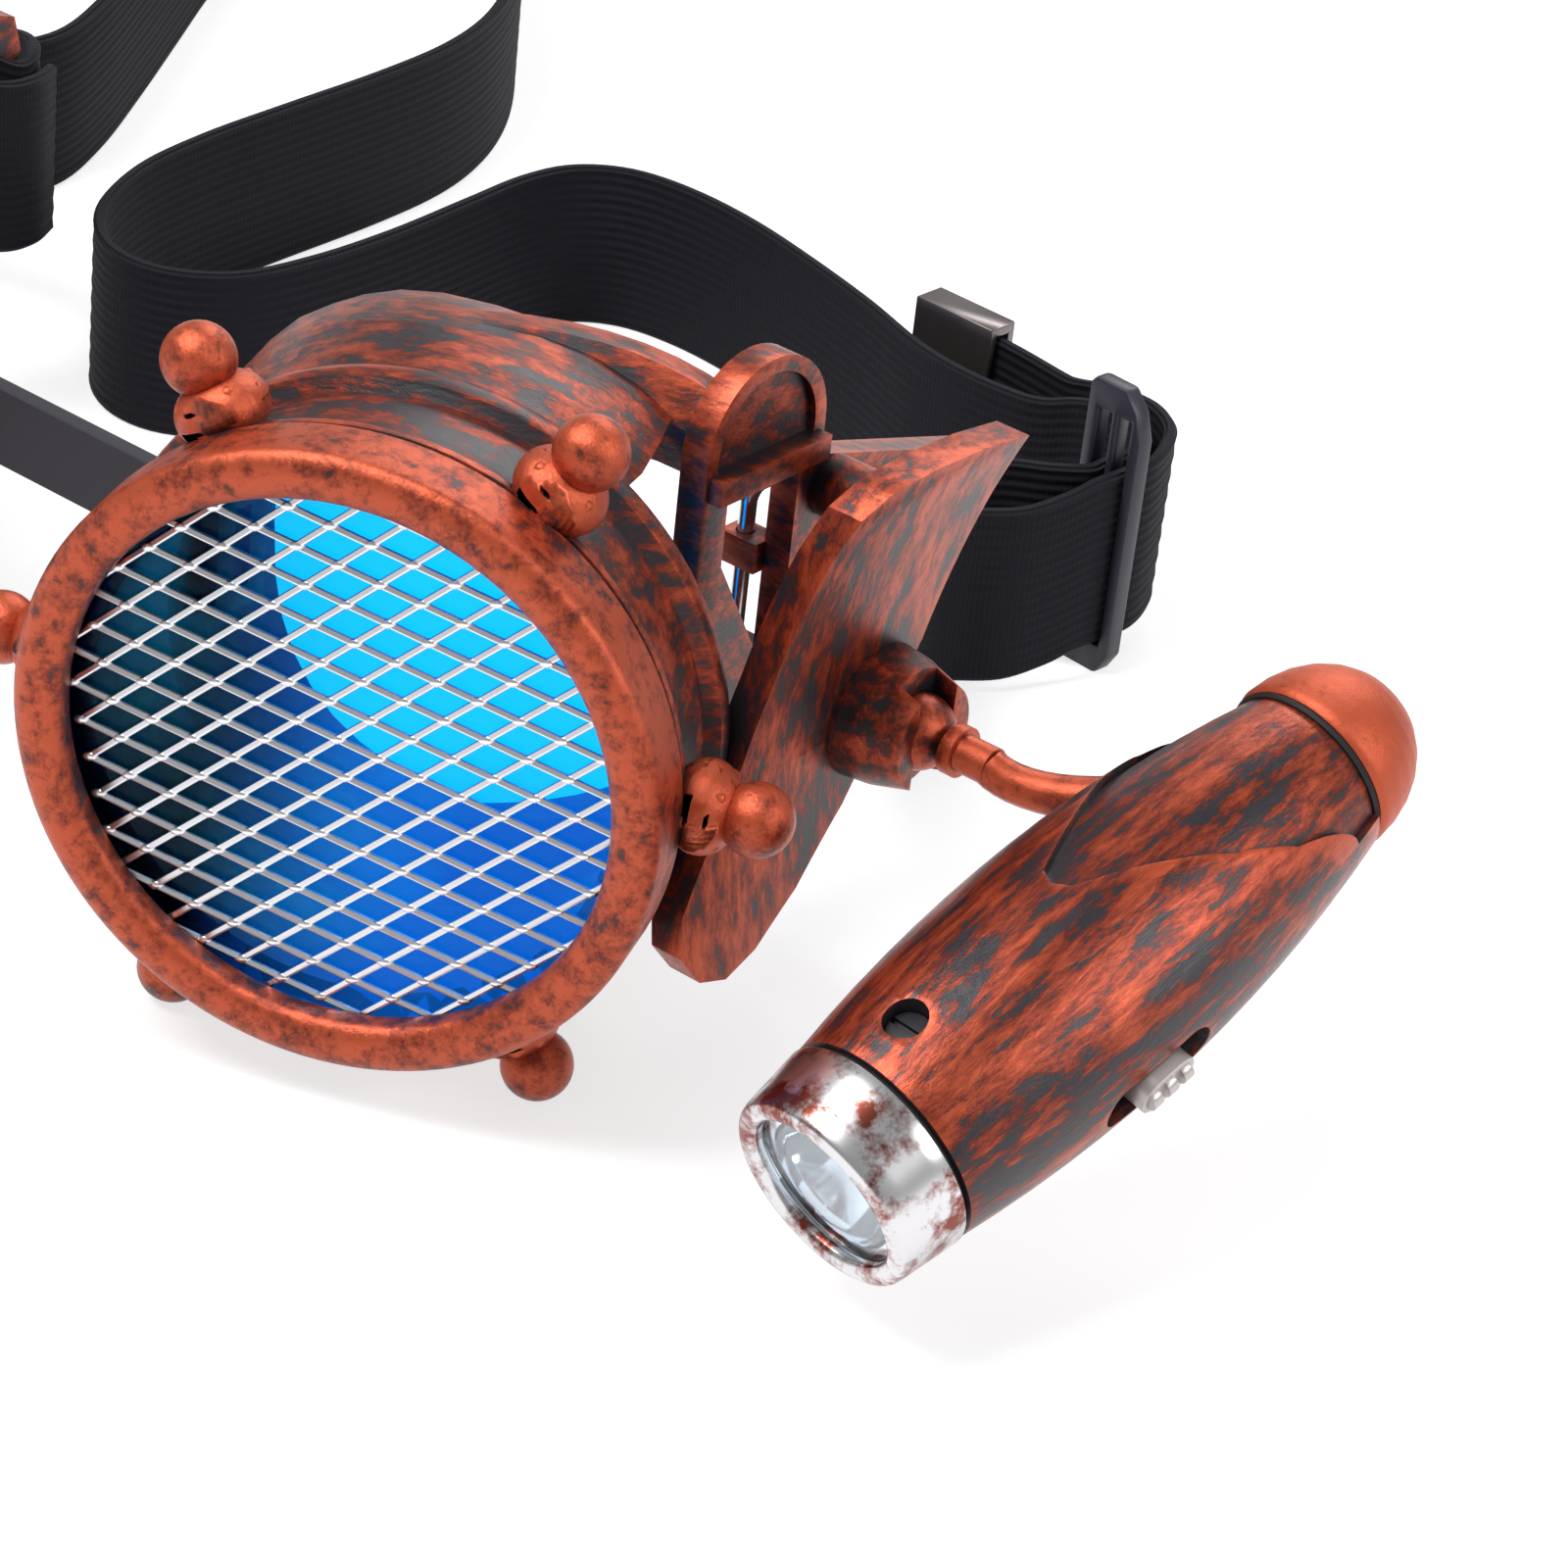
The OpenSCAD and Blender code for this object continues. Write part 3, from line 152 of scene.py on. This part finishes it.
def brushed_copper(name, cover, grain, stretch=(1, 1, 1), lie=(0, 0, 0), gloss=0.34):
    copper = new_finish(name, {"Roughness": gloss})
    place = add_step(copper, "ShaderNodeTexCoord", {})
    along = add_step(copper, "ShaderNodeMapping", {
        "Vector": place["Object"], "Rotation": lie, "Scale": stretch}, vector_type="TEXTURE")
    patches = add_step(copper, "ShaderNodeTexNoise", {
        "Vector": along["Vector"], "Scale": grain * PATCH_SCALE, "Detail": 4, "Roughness": 0.55})
    strokes = add_step(copper, "ShaderNodeTexNoise", {
        "Vector": along["Vector"], "Scale": grain, "Detail": 8, "Roughness": 0.74, "Distortion": 0.15})
    hollow = add_step(copper, "ShaderNodeAmbientOcclusion", {"Distance": HOLLOW_REACH}, samples=HOLLOW_RAYS)
    edge = add_step(copper, "ShaderNodeAmbientOcclusion", {"Distance": EDGE_REACH}, samples=HOLLOW_RAYS,
                    inside=True, only_local=True)
    grainy = add_weighed(copper, patches["Fac"], PATCH_SHARE, strokes["Fac"], STROKE_SHARE, GRAIN_SHIFT)
    kept = add_weighed(copper, grainy, 1.0, hollow["AO"], HOLLOW_SHARE, cover - HOLLOW_SHARE)
    kept = add_weighed(copper, kept, 1.0, edge["AO"], -EDGE_SHARE, EDGE_SHARE)
    paint = add_step(copper, "ShaderNodeMapRange", {"Value": kept, "From Min": 0.0, "From Max": PAINT_EDGE},
                     interpolation_type="SMOOTHSTEP")
    thick = add_step(copper, "ShaderNodeMapRange", {"Value": kept, "From Min": 0.0, "From Max": PAINT_BODY})
    tone = add_step(copper, "ShaderNodeMix", {"Factor": thick["Result"], "A": THIN_COPPER, "B": THICK_COPPER},
                    data_type="RGBA")
    colour = add_step(copper, "ShaderNodeMix", {
        "Factor": paint["Result"], "A": BLACK_PLASTIC, "B": tone["Result"]}, data_type="RGBA")
    metal = add_step(copper, "ShaderNodeMath", {0: paint["Result"], 1: PAINT_METAL}, operation="MULTIPLY")
    set_surface(copper, {"Base Color": colour["Result"], "Metallic": metal[0]})
    add_relief(copper, grainy, BRUSH_RELIEF, BRUSH_DEPTH)
    return copper


def finish_solid(node, finish, rounding=0.0002):
    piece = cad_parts[node]
    piece.data.materials.clear()
    piece.data.materials.append(finish)
    piece.data.polygons.foreach_set("use_smooth", [True] * len(piece.data.polygons))
    weld = piece.modifiers.new("weld", "WELD")
    weld.merge_threshold = WELD_REACH
    if rounding:
        bevel = piece.modifiers.new("bevel", "BEVEL")
        bevel.width = rounding
        bevel.segments = BEVEL_STEPS
        bevel.limit_method = "ANGLE"
        bevel.angle_limit = SHARP_ANGLE
        bevel.use_clamp_overlap = True
    split = piece.modifiers.new("split", "EDGE_SPLIT")
    split.split_angle = SHARP_ANGLE


ring_copper = brushed_copper("brushed copper ring", cover=0.31, grain=620)
for side in ("left", "right"):
    finish_solid(side + "_bezel", ring_copper)


# Mesh: a disc of expanded metal held behind the ring's lip. One slit strand is
# modelled and copied over the net in both slants, with a flat knot wherever
# strands meet.
MIDDLE_X, MIDDLE_Y = 7.93611, -102.032
CUP_X, AXIS_H, TOE_OUT = 58.5, 33.6109, math.radians(21.4)
CELL_L, CELL_W, MESH_TURN = 6.85, 3.6, math.radians(15)
MESH_R, MESH_AT, KNOT_AT, STRAND_INSET, KNOT_INSET = 26.0, 1.9, 1.85, 0.5, 0.6
STRAND_LAP, STRAND_THICK, STRAND_WIDE, STRAND_BEVEL, STRAND_TWIST = 1.02, 0.00046, 0.00062, 0.00012, 24
KNOT_SIZE = (0.00078, 0.00036, 0.00046)
HALF_COLUMNS, HALF_ROWS = 18, 32


def mm(x, y, z):
    return Vector(((x + MIDDLE_X) / 1000, (y + MIDDLE_Y) / 1000, z / 1000))


def plain_finish(name, colour, roughness, metallic=0.0, transmission=0.0, ior=1.45):
    return new_finish(name, {
        "Base Color": (*colour, 1), "Roughness": roughness, "Metallic": metallic,
        "Transmission Weight": transmission, "IOR": ior})


def link_new(name, mesh):
    piece = bpy.data.objects.new(name, mesh)
    bpy.context.scene.collection.objects.link(piece)
    return piece


def flat_copy(source, name, change):
    piece = link_new(name, source.data.copy())
    piece.data.transform(change)
    if change.determinant() < 0:
        piece.data.flip_normals()
    return piece


def join_pieces(pieces, name):
    bpy.ops.object.select_all(action="DESELECT")
    for piece in pieces:
        piece.select_set(True)
    bpy.context.view_layer.objects.active = pieces[0]
    bpy.ops.object.join()
    joined = bpy.context.object
    joined.name = name
    joined.data.name = name
    bpy.ops.object.select_all(action="DESELECT")
    return joined


def mirrored(source, name):
    middle = Matrix.Translation((MIDDLE_X / 1000, 0, 0))
    return flat_copy(source, name, middle @ Matrix.Scale(-1, 4, (1, 0, 0)) @ middle.inverted())


def smooth_by_angle(piece, angle):
    bpy.ops.object.select_all(action="DESELECT")
    piece.select_set(True)
    bpy.context.view_layer.objects.active = piece
    bpy.ops.object.shade_smooth_by_angle(angle=math.radians(angle))
    piece.select_set(False)


strand_length = math.hypot(CELL_L, CELL_W) / 2 / 1000
bpy.ops.mesh.primitive_cube_add(size=1)
strand = bpy.context.object
bpy.ops.object.mode_set(mode="EDIT")
bpy.ops.transform.resize(value=(strand_length * STRAND_LAP, STRAND_THICK, STRAND_WIDE))
bpy.ops.mesh.bevel(offset=STRAND_BEVEL, segments=1, affect="EDGES")
bpy.ops.transform.rotate(value=math.radians(STRAND_TWIST), orient_axis="X", center_override=(0, 0, 0))
bpy.ops.object.mode_set(mode="OBJECT")
bpy.ops.mesh.primitive_uv_sphere_add(segments=8, ring_count=5, radius=1)
knot = bpy.context.object
bpy.ops.object.mode_set(mode="EDIT")
bpy.ops.transform.resize(value=KNOT_SIZE)
bpy.ops.object.mode_set(mode="OBJECT")

cup_place = Matrix.Translation(mm(CUP_X, 0, AXIS_H)) @ Matrix.Rotation(TOE_OUT, 4, "Z")
net_turn = Matrix.Rotation(-MESH_TURN, 4, "Y")
strand_place = cup_place @ Matrix.Translation((0, MESH_AT / 1000, 0)) @ net_turn
knot_place = cup_place @ Matrix.Translation((0, KNOT_AT / 1000, 0)) @ net_turn
slant = math.atan2(CELL_W, CELL_L)
net = []
for column in range(-HALF_COLUMNS, HALF_COLUMNS + 1):
    for row in range(-HALF_ROWS, HALF_ROWS + 1):
        if (column + row) % 2 == 0:
            continue
        x, z = column * CELL_L / 2, row * CELL_W / 2
        for rise in (-1, 1):
            middle_x, middle_z = x + CELL_L / 4, z + rise * CELL_W / 4
            if math.hypot(middle_x, middle_z) < MESH_R - STRAND_INSET:
                put = Matrix.Translation((middle_x / 1000, 0, middle_z / 1000))
                slanted = Matrix.Rotation(-rise * slant, 4, "Y")
                net.append(flat_copy(strand, "strand", strand_place @ put @ slanted))
        if math.hypot(x, z) < MESH_R - KNOT_INSET:
            put = Matrix.Translation((x / 1000, 0, z / 1000))
            net.append(flat_copy(knot, "knot", knot_place @ put))
bpy.data.objects.remove(strand)
bpy.data.objects.remove(knot)
left_net = join_pieces(net, "left_expanded_mesh")
left_net.data.materials.append(plain_finish("bright expanded metal", (0.80, 0.80, 0.82), 0.28, metallic=1.0))
right_net = mirrored(left_net, "right_expanded_mesh")
for side, piece in (("left", left_net), ("right", right_net)):
    smooth_by_angle(piece, 35)
    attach(piece, side + "_mesh_disc")
    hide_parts(side + "_mesh")


# Lenses: clear blue plastic discs seated behind the mesh. A painted glow, stronger towards their outer side,
# stands in for light from behind coming through the open cup.
LENS_BLUE, LENS_IOR = (0.002, 0.40, 0.92), 1.16
PAINTED_GLOW_BLUE, PAINTED_GLOW_FROM, PAINTED_GLOW_FULL, PAINTED_GLOW_STRENGTH = (0.002, 0.075, 0.34, 1), -0.015, 0.008, 0.9

for side, hand in (("left", 1), ("right", -1)):
    blue_lens = plain_finish(side + " blue lens", LENS_BLUE, 0.0, transmission=1.0, ior=LENS_IOR)
    outward = Vector((hand * math.cos(TOE_OUT), math.sin(TOE_OUT), 0))
    middle = (Vector((hand * CUP_X + MIDDLE_X, MIDDLE_Y, 0)) / 1000).dot(outward)
    place = add_step(blue_lens, "ShaderNodeTexCoord", {})
    across = add_step(blue_lens, "ShaderNodeVectorMath", {0: place["Object"], 1: outward},
                      operation="DOT_PRODUCT")
    # Painted glow: emission that rises towards the lens's outer side, in place of light coming through the cup.
    glow = add_step(blue_lens, "ShaderNodeMapRange", {
        "Value": across["Value"], "From Min": middle + PAINTED_GLOW_FROM, "From Max": middle + PAINTED_GLOW_FULL,
        "To Max": PAINTED_GLOW_STRENGTH}, interpolation_type="SMOOTHSTEP")
    set_surface(blue_lens, {"Emission Color": PAINTED_GLOW_BLUE, "Emission Strength": glow["Result"]})
    finish_solid(side + "_lens", blue_lens, rounding=0)


# Studs: a turned plastic ball on a rounded collar and a nut, pinned into the
# barrel. One is modelled and copied six times round each cup.
STUD_REACH, STUD_Y, STUD_BALL, STUD_COUNT = 35.0, 8.8, 6.6, 6
BALL_CUT, COLLAR_STEP, COLLAR_DROP, COLLAR_FLARE, COLLAR_WIDEN = 2.7, 0.0005, 0.0042, 1.12, 1.15
RING_R, NUT_RISE, NUT_TOP, NUT_BEVEL = 29.5, 1.5, 0.84, 0.0005
NUT_SIZE = (0.0068, 0.0060, 0.0032)

bpy.ops.mesh.primitive_uv_sphere_add(segments=40, ring_count=24, radius=STUD_BALL / 2000,
                                     location=(0, 0, STUD_REACH / 1000))
ball = bpy.context.object
bpy.ops.object.mode_set(mode="EDIT")
bpy.ops.mesh.bisect(plane_co=(0, 0, (STUD_REACH - BALL_CUT) / 1000), plane_no=(0, 0, -1),
                    clear_outer=True, use_fill=False)
bpy.ops.mesh.select_all(action="SELECT")
bpy.ops.mesh.select_mode(type="EDGE")
bpy.ops.mesh.extrude_region_move(TRANSFORM_OT_translate={"value": (0, 0, -COLLAR_STEP)})
bpy.ops.transform.resize(value=(COLLAR_FLARE, COLLAR_FLARE, 1), center_override=(0, 0, 0))
bpy.ops.mesh.extrude_region_move(TRANSFORM_OT_translate={"value": (0, 0, -COLLAR_DROP)})
bpy.ops.transform.resize(value=(COLLAR_WIDEN, COLLAR_WIDEN, 1), center_override=(0, 0, 0))
bpy.ops.mesh.fill()
bpy.ops.object.mode_set(mode="OBJECT")

nut_at = (0, 0, (RING_R + NUT_RISE) / 1000)
bpy.ops.mesh.primitive_cube_add(size=1, location=nut_at)
nut = bpy.context.object
bpy.ops.object.mode_set(mode="EDIT")
bpy.ops.transform.resize(value=NUT_SIZE, center_override=nut_at)
bpy.ops.mesh.select_all(action="DESELECT")
bpy.ops.object.mode_set(mode="OBJECT")
for face in nut.data.polygons:
    face.select = face.normal.z > 0.9
bpy.ops.object.mode_set(mode="EDIT")
bpy.ops.transform.resize(value=(NUT_TOP, NUT_TOP, 1), center_override=(0, 0, 0))
bpy.ops.mesh.select_all(action="SELECT")
bpy.ops.mesh.bevel(offset=NUT_BEVEL, segments=2, affect="EDGES")
bpy.ops.object.mode_set(mode="OBJECT")

stud = join_pieces([ball, nut], "stud")
stud.select_set(True)
bpy.ops.object.transform_apply(location=True, rotation=True, scale=True)
stud.select_set(False)
studs = []
for number in range(STUD_COUNT):
    turn = Matrix.Rotation(math.radians((number + 0.5) * 360 / STUD_COUNT), 4, "Y")
    studs.append(flat_copy(stud, "left_stud", cup_place @ turn @ Matrix.Translation((0, STUD_Y / 1000, 0))))
bpy.data.objects.remove(stud)
left_studs = join_pieces(studs, "left_ball_studs")
left_studs.data.materials.append(brushed_copper("stud copper", cover=0.38, grain=700))
right_studs = mirrored(left_studs, "right_ball_studs")
for side, piece in (("left", left_studs), ("right", right_studs)):
    smooth_by_angle(piece, 40)
    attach(piece, "goggles")
    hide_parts(side + "_studs")


# Eyecups: barrel, face skirt, bars and temple lug in one plastic moulding,
# painted more thinly than the rings so that more of the black shows.
cup_copper = brushed_copper("eyecup copper", cover=0.12, grain=560, stretch=(3.2, 1.4, 1), lie=(0, 0, TOE_OUT))
for side in ("left", "right"):
    finish_solid(side + "_eyecup", cup_copper, rounding=0.00035)


# Strap rings and small screws: each ring is a bent bright wire behind the
# lug's window, and three small screws of blackened steel hold each shield.
bright_wire = plain_finish("bright wire", (0.72, 0.72, 0.73), 0.22, metallic=1.0)
dark_steel = plain_finish("blackened steel", (0.03, 0.03, 0.034), 0.45, metallic=0.4)
for side in ("left", "right"):
    finish_solid(side + "_strap_ring", bright_wire, rounding=0)
    finish_solid(side + "_shield_screws", dark_steel)


# Shields: curved plastic plates on two posts, screwed on from inside and
# painted with long upright strokes.
shield_copper = brushed_copper("shield copper", cover=0.15, grain=520, stretch=(1, 1, 3.4))
for side in ("left", "right"):
    finish_solid(side + "_shield", shield_copper, rounding=0.0005)


# Ball joints: a plastic socket with two jaws, mostly bare black, holds a ball.
# The ball and its arm are rubbed bright where hands turn the torch.
socket_copper = brushed_copper("socket copper", cover=0.10, grain=560)
arm_copper = brushed_copper("arm copper", cover=0.38, grain=600)
for side in ("left", "right"):
    finish_solid(side + "_ball_socket", socket_copper, rounding=0.0004)
    finish_solid(side + "_lamp_ball", arm_copper, rounding=0)
    finish_solid(side + "_lamp_arm", arm_copper)


# Torches: a bullet-shaped plastic body with long brush strokes, a silver head
# ring with copper rubbed into it, and a smooth tail cone. Cells, spring, board
# and reflector fill them as in any small torch.
TORCH_LIE = (math.radians(20.5), 0, math.radians(-6.4))
SILVER, RUBBED_COPPER = (0.70, 0.69, 0.70), (0.24, 0.060, 0.040, 1)
RUB_FROM, RUB_FULL = 0.47, 0.60
LED_GLOW, LED_STRENGTH = (0.75, 0.92, 1.0, 1), 1.2

body_copper = brushed_copper("torch copper", cover=0.09, grain=600, stretch=(1, 5.0, 1), lie=TORCH_LIE,
                             gloss=0.28)
tail_copper = brushed_copper("tail copper", cover=0.55, grain=420, gloss=0.45)
worn_silver = plain_finish("worn silver", SILVER, 0.26, metallic=1.0)
place = add_step(worn_silver, "ShaderNodeTexCoord", {})
smears = add_step(worn_silver, "ShaderNodeTexNoise", {
    "Vector": place["Object"], "Scale": 210, "Detail": 5, "Roughness": 0.7})
rub = add_step(worn_silver, "ShaderNodeMapRange", {
    "Value": smears["Fac"], "From Min": RUB_FROM, "From Max": RUB_FULL})
rubbed = add_step(worn_silver, "ShaderNodeMix", {
    "Factor": rub["Result"], "A": (*SILVER, 1), "B": RUBBED_COPPER}, data_type="RGBA")
set_surface(worn_silver, {"Base Color": rubbed["Result"]})
switch_silver = plain_finish("switch silver", (0.55, 0.50, 0.48), 0.35, metallic=0.7)
torch_window = plain_finish("torch window", (0.92, 0.97, 1.0), 0.0, transmission=1.0)
reflector = plain_finish("reflector", (0.86, 0.90, 0.94), 0.08, metallic=1.0)
lamp_white = plain_finish("lamp white", (0.9, 0.94, 0.98), 0.4)
set_surface(lamp_white, {"Emission Color": LED_GLOW, "Emission Strength": LED_STRENGTH})
seal_rubber = plain_finish("seal rubber", (0.012, 0.012, 0.013), 0.6)
cell_steel = plain_finish("cell steel", (0.72, 0.72, 0.73), 0.3, metallic=1.0)
for side in ("left", "right"):
    finish_solid(side + "_lamp_body", body_copper)
    finish_solid(side + "_lamp_tail", tail_copper)
    finish_solid(side + "_lamp_head", worn_silver)
    finish_solid(side + "_lamp_switch", switch_silver)
    finish_solid(side + "_lamp_lens", torch_window, rounding=0)
    finish_solid(side + "_lamp_reflector", reflector, rounding=0)
    finish_solid(side + "_lamp_led", lamp_white, rounding=0)
    finish_solid(side + "_lamp_seals", seal_rubber, rounding=0)
    finish_solid(side + "_lamp_cells", cell_steel, rounding=0)
    finish_solid(side + "_lamp_spring", cell_steel, rounding=0)
    finish_solid(side + "_lamp_screw", dark_steel, rounding=0.0001)


# Nose band: a flat band of black elastic between the two cups, held in the
# slots of their inner tabs.
band_black = plain_finish("black band", (0.022, 0.021, 0.028), 0.62)
finish_solid("nose_band", band_black, rounding=0.0003)


# Head strap: one length of ribbed woven elastic that stands on its lower edge.
# It runs from the clip through the slider, round the left ring, back through
# the slider and on to its sewn loop in the right ring.
STRAP_W, STRAP_T, LOW_Z, CURVE_STEPS = 20.0, 1.4, 3.4, 6
RIB_ROWS, RIB_DEPTH, RIB_MARGIN, EDGE_IN, EDGE_UP = 17, 0.12, 0.5, 0.35, 0.05
RING_X, RING_REAR_Y, RING_Z, RING_WRAP = 61.5, 57.5, 21.6109, 1.6
SLIDER_X, SLIDER_Y, SLIDER_TURN, LAYER_GAP = 57.0, 117.5, math.radians(-6), 1.35


def at_slider(side, along):
    turn_x, turn_y = math.cos(SLIDER_TURN), math.sin(SLIDER_TURN)
    return (SLIDER_X + side * LAYER_GAP * turn_x - along * turn_y,
            SLIDER_Y + side * LAYER_GAP * turn_y + along * turn_x, LOW_Z)


def round_ring(hand, lead):
    return [(hand * RING_X + lead * RING_WRAP * math.cos(math.radians(turn)),
             RING_REAR_Y - RING_WRAP * math.sin(math.radians(turn)), RING_Z) for turn in range(0, 181, 30)]


strap_route = [
    (17.4, 139.2, 0), (23, 138.9, 0), (30, 138.1, 0), (36.5, 136.9, 0), (38.5, 136.5, 0.2), (42, 135.9, 1.2),
    (46, 135.1, 2.2), (51.2, 133.2, LOW_Z - 0.3), (55.4, 130, LOW_Z), (57.6, 126, LOW_Z), at_slider(1, 4.5),
    at_slider(1, 1.5), at_slider(1, -1.5), at_slider(1, -4.5), (56.8, 110, 2.4), (54.6, 105.4, 1.4),
    (51.2, 101, 1.4), (50.2, 96.5, 2.4), (53, 88.5, 6.4), (58, 77, 12.5), (61.5, 67, 17.5),
    (RING_X + RING_WRAP, RING_REAR_Y + 3, RING_Z), *round_ring(1, 1),
    (RING_X - RING_WRAP, RING_REAR_Y + 3, RING_Z),
    (57, 68, 16.6), (51.5, 79, 11.4), (45.5, 90, 6), (43.4, 98, 3), (44.2, 105, 2.2), (47.6, 110.4, 2.6),
    (52.2, 113, 3), at_slider(-1, -2.4), at_slider(-1, 0), at_slider(-1, 4.5), (54.6, 125.4, LOW_Z),
    (52.6, 128.8, LOW_Z - 0.3), (48.4, 131.2, 2.4), (43, 131.2, 1.2), (39.5, 130, 0.2), (36.5, 129.2, 0),
    (29.5, 129, 0), (21.5, 130.6, 0), (11.5, 134.5, 0), (0.5, 138, 0), (-10.5, 140.8, 0), (-20.5, 141.8, 0),
    (-28.5, 140.5, 0), (-33.5, 136, 0), (-35.1, 129, 0), (-34.7, 119, 0), (-34.1, 106, 0), (-34.7, 94, 0),
    (-37.1, 84.5, 0), (-43.5, 79, 0), (-51.5, 79.3, 0), (-59, 85.5, 0), (-64, 96, 0), (-65.9, 108, 0),
    (-66.3, 122, 0), (-66.5, 138, 0), (-67.7, 151, 0), (-71, 162, 0), (-77, 173, 0), (-85.5, 184, 0),
    (-95.5, 194.5, 0), (-107.5, 206, 0), (-119.5, 213.5, 0), (-130.5, 214.5, 0), (-138.5, 208.5, 0),
    (-141, 198, 0), (-137.5, 186, 0), (-131, 173.5, 0), (-121.5, 158, 0), (-112, 142.5, 0), (-103, 127, 0),
    (-98.6, 116, 0), (-99, 107, 0.6), (-101.6, 98, 2.4), (-102, 90, 5.4), (-97.4, 85, 9), (-89.6, 84, 12),
    (-80, 85, 14.4), (-72, 84.8, 16.4), (-66, 81.4, 17.6), (-62.8, 76, 18), (-62.9, 69, RING_Z - 0.2),
    (-RING_X - RING_WRAP, RING_REAR_Y + 3.5, RING_Z), *round_ring(-1, -1),
    (-RING_X + RING_WRAP, RING_REAR_Y + 3.5, RING_Z), (-60.2, 71, 17.8), (-61, 76.8, 16.8), (-64.4, 82.4, 15.6),
]
strap_route = [Vector(point) for point in strap_route]
path = []
for i in range(len(strap_route) - 1):
    before, start = strap_route[max(i - 1, 0)], strap_route[i]
    end, after = strap_route[i + 1], strap_route[min(i + 2, len(strap_route) - 1)]
    for step in range(CURVE_STEPS):
        t = step / CURVE_STEPS
        path.append(0.5 * (2 * start + (end - before) * t
                           + (2 * before - 5 * start + 4 * end - after) * t * t
                           + (3 * start - before - 3 * end + after) * t ** 3))
path.append(strap_route[-1])

section = [(STRAP_T / 2 - EDGE_IN, EDGE_UP, 0.0)]
for row in range(RIB_ROWS):
    section.append((STRAP_T / 2 - RIB_DEPTH * (row % 2),
                    RIB_MARGIN + (STRAP_W - 2 * RIB_MARGIN) * row / (RIB_ROWS - 1), row / RIB_ROWS))
section.append((STRAP_T / 2 - EDGE_IN, STRAP_W - EDGE_UP, 1.0))
section += [(-out, height, across) for out, height, across in reversed(section)]
around = len(section)

corners, faces, lengths = [], [], [0.0]
for i, point in enumerate(path):
    ahead = path[min(i + 1, len(path) - 1)] - path[max(i - 1, 0)]
    ahead.z = 0
    ahead.normalize()
    if i:
        lengths.append(lengths[-1] + (point - path[i - 1]).length)
    for out, height, across in section:
        corners.append(mm(point.x - ahead.y * out, point.y + ahead.x * out, point.z + height))
for first in range(0, len(corners) - around, around):
    for k in range(around):
        j = (k + 1) % around
        faces.append((first + k, first + j, first + around + j, first + around + k))
faces += [tuple(range(around - 1, -1, -1)), tuple(range(len(corners) - around, len(corners)))]
strap_mesh = bpy.data.meshes.new("head_strap")
strap_mesh.from_pydata(corners, [], faces)
head_strap = link_new("head_strap", strap_mesh)
shape = bmesh.new()
shape.from_mesh(strap_mesh)
bmesh.ops.recalc_face_normals(shape, faces=shape.faces)
shape.to_mesh(strap_mesh)
shape.free()
unwrapped = strap_mesh.uv_layers.new(name="along and across")
for loop in strap_mesh.loops:
    step, k = divmod(loop.vertex_index, around)
    unwrapped.data[loop.index].uv = (lengths[step] / STRAP_W, section[k][2])

black_webbing = plain_finish("black webbing", (0.0085, 0.0080, 0.0120), 0.80)
set_surface(black_webbing, {"Specular IOR Level": 0.25})
place = add_step(black_webbing, "ShaderNodeTexCoord", {})
ribs = add_step(black_webbing, "ShaderNodeTexWave", {
    "Vector": place["UV"], "Scale": 5.5, "Distortion": 0.15}, bands_direction="Y")
weft = add_step(black_webbing, "ShaderNodeTexWave", {
    "Vector": place["UV"], "Scale": 11, "Distortion": 1.5}, bands_direction="X")
woven = add_weighed(black_webbing, ribs["Fac"], 1.0, weft["Fac"], 0.22)
add_relief(black_webbing, woven, strength=0.5, depth=0.0003)
strap_mesh.materials.append(black_webbing)
smooth_by_angle(head_strap, 40)
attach(head_strap, "goggles")
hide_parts("strap_free_end", "strap_turn", "strap_adjuster", "strap_left_loop", "strap_run",
            "strap_near_fold", "strap_rear_run", "strap_far_fold", "strap_right_side", "strap_right_loop")


# Slider and clip: a flat black plastic slider that the strap runs through
# twice, and a strip of metal folded over the strap's free end.
slider_black = plain_finish("black slider", (0.030, 0.027, 0.040), 0.42)
clip_metal = plain_finish("clip metal", (0.20, 0.17, 0.17), 0.34, metallic=0.9)
finish_solid("slider_buckle", slider_black, rounding=0.0004)
finish_solid("strap_clip", clip_metal)
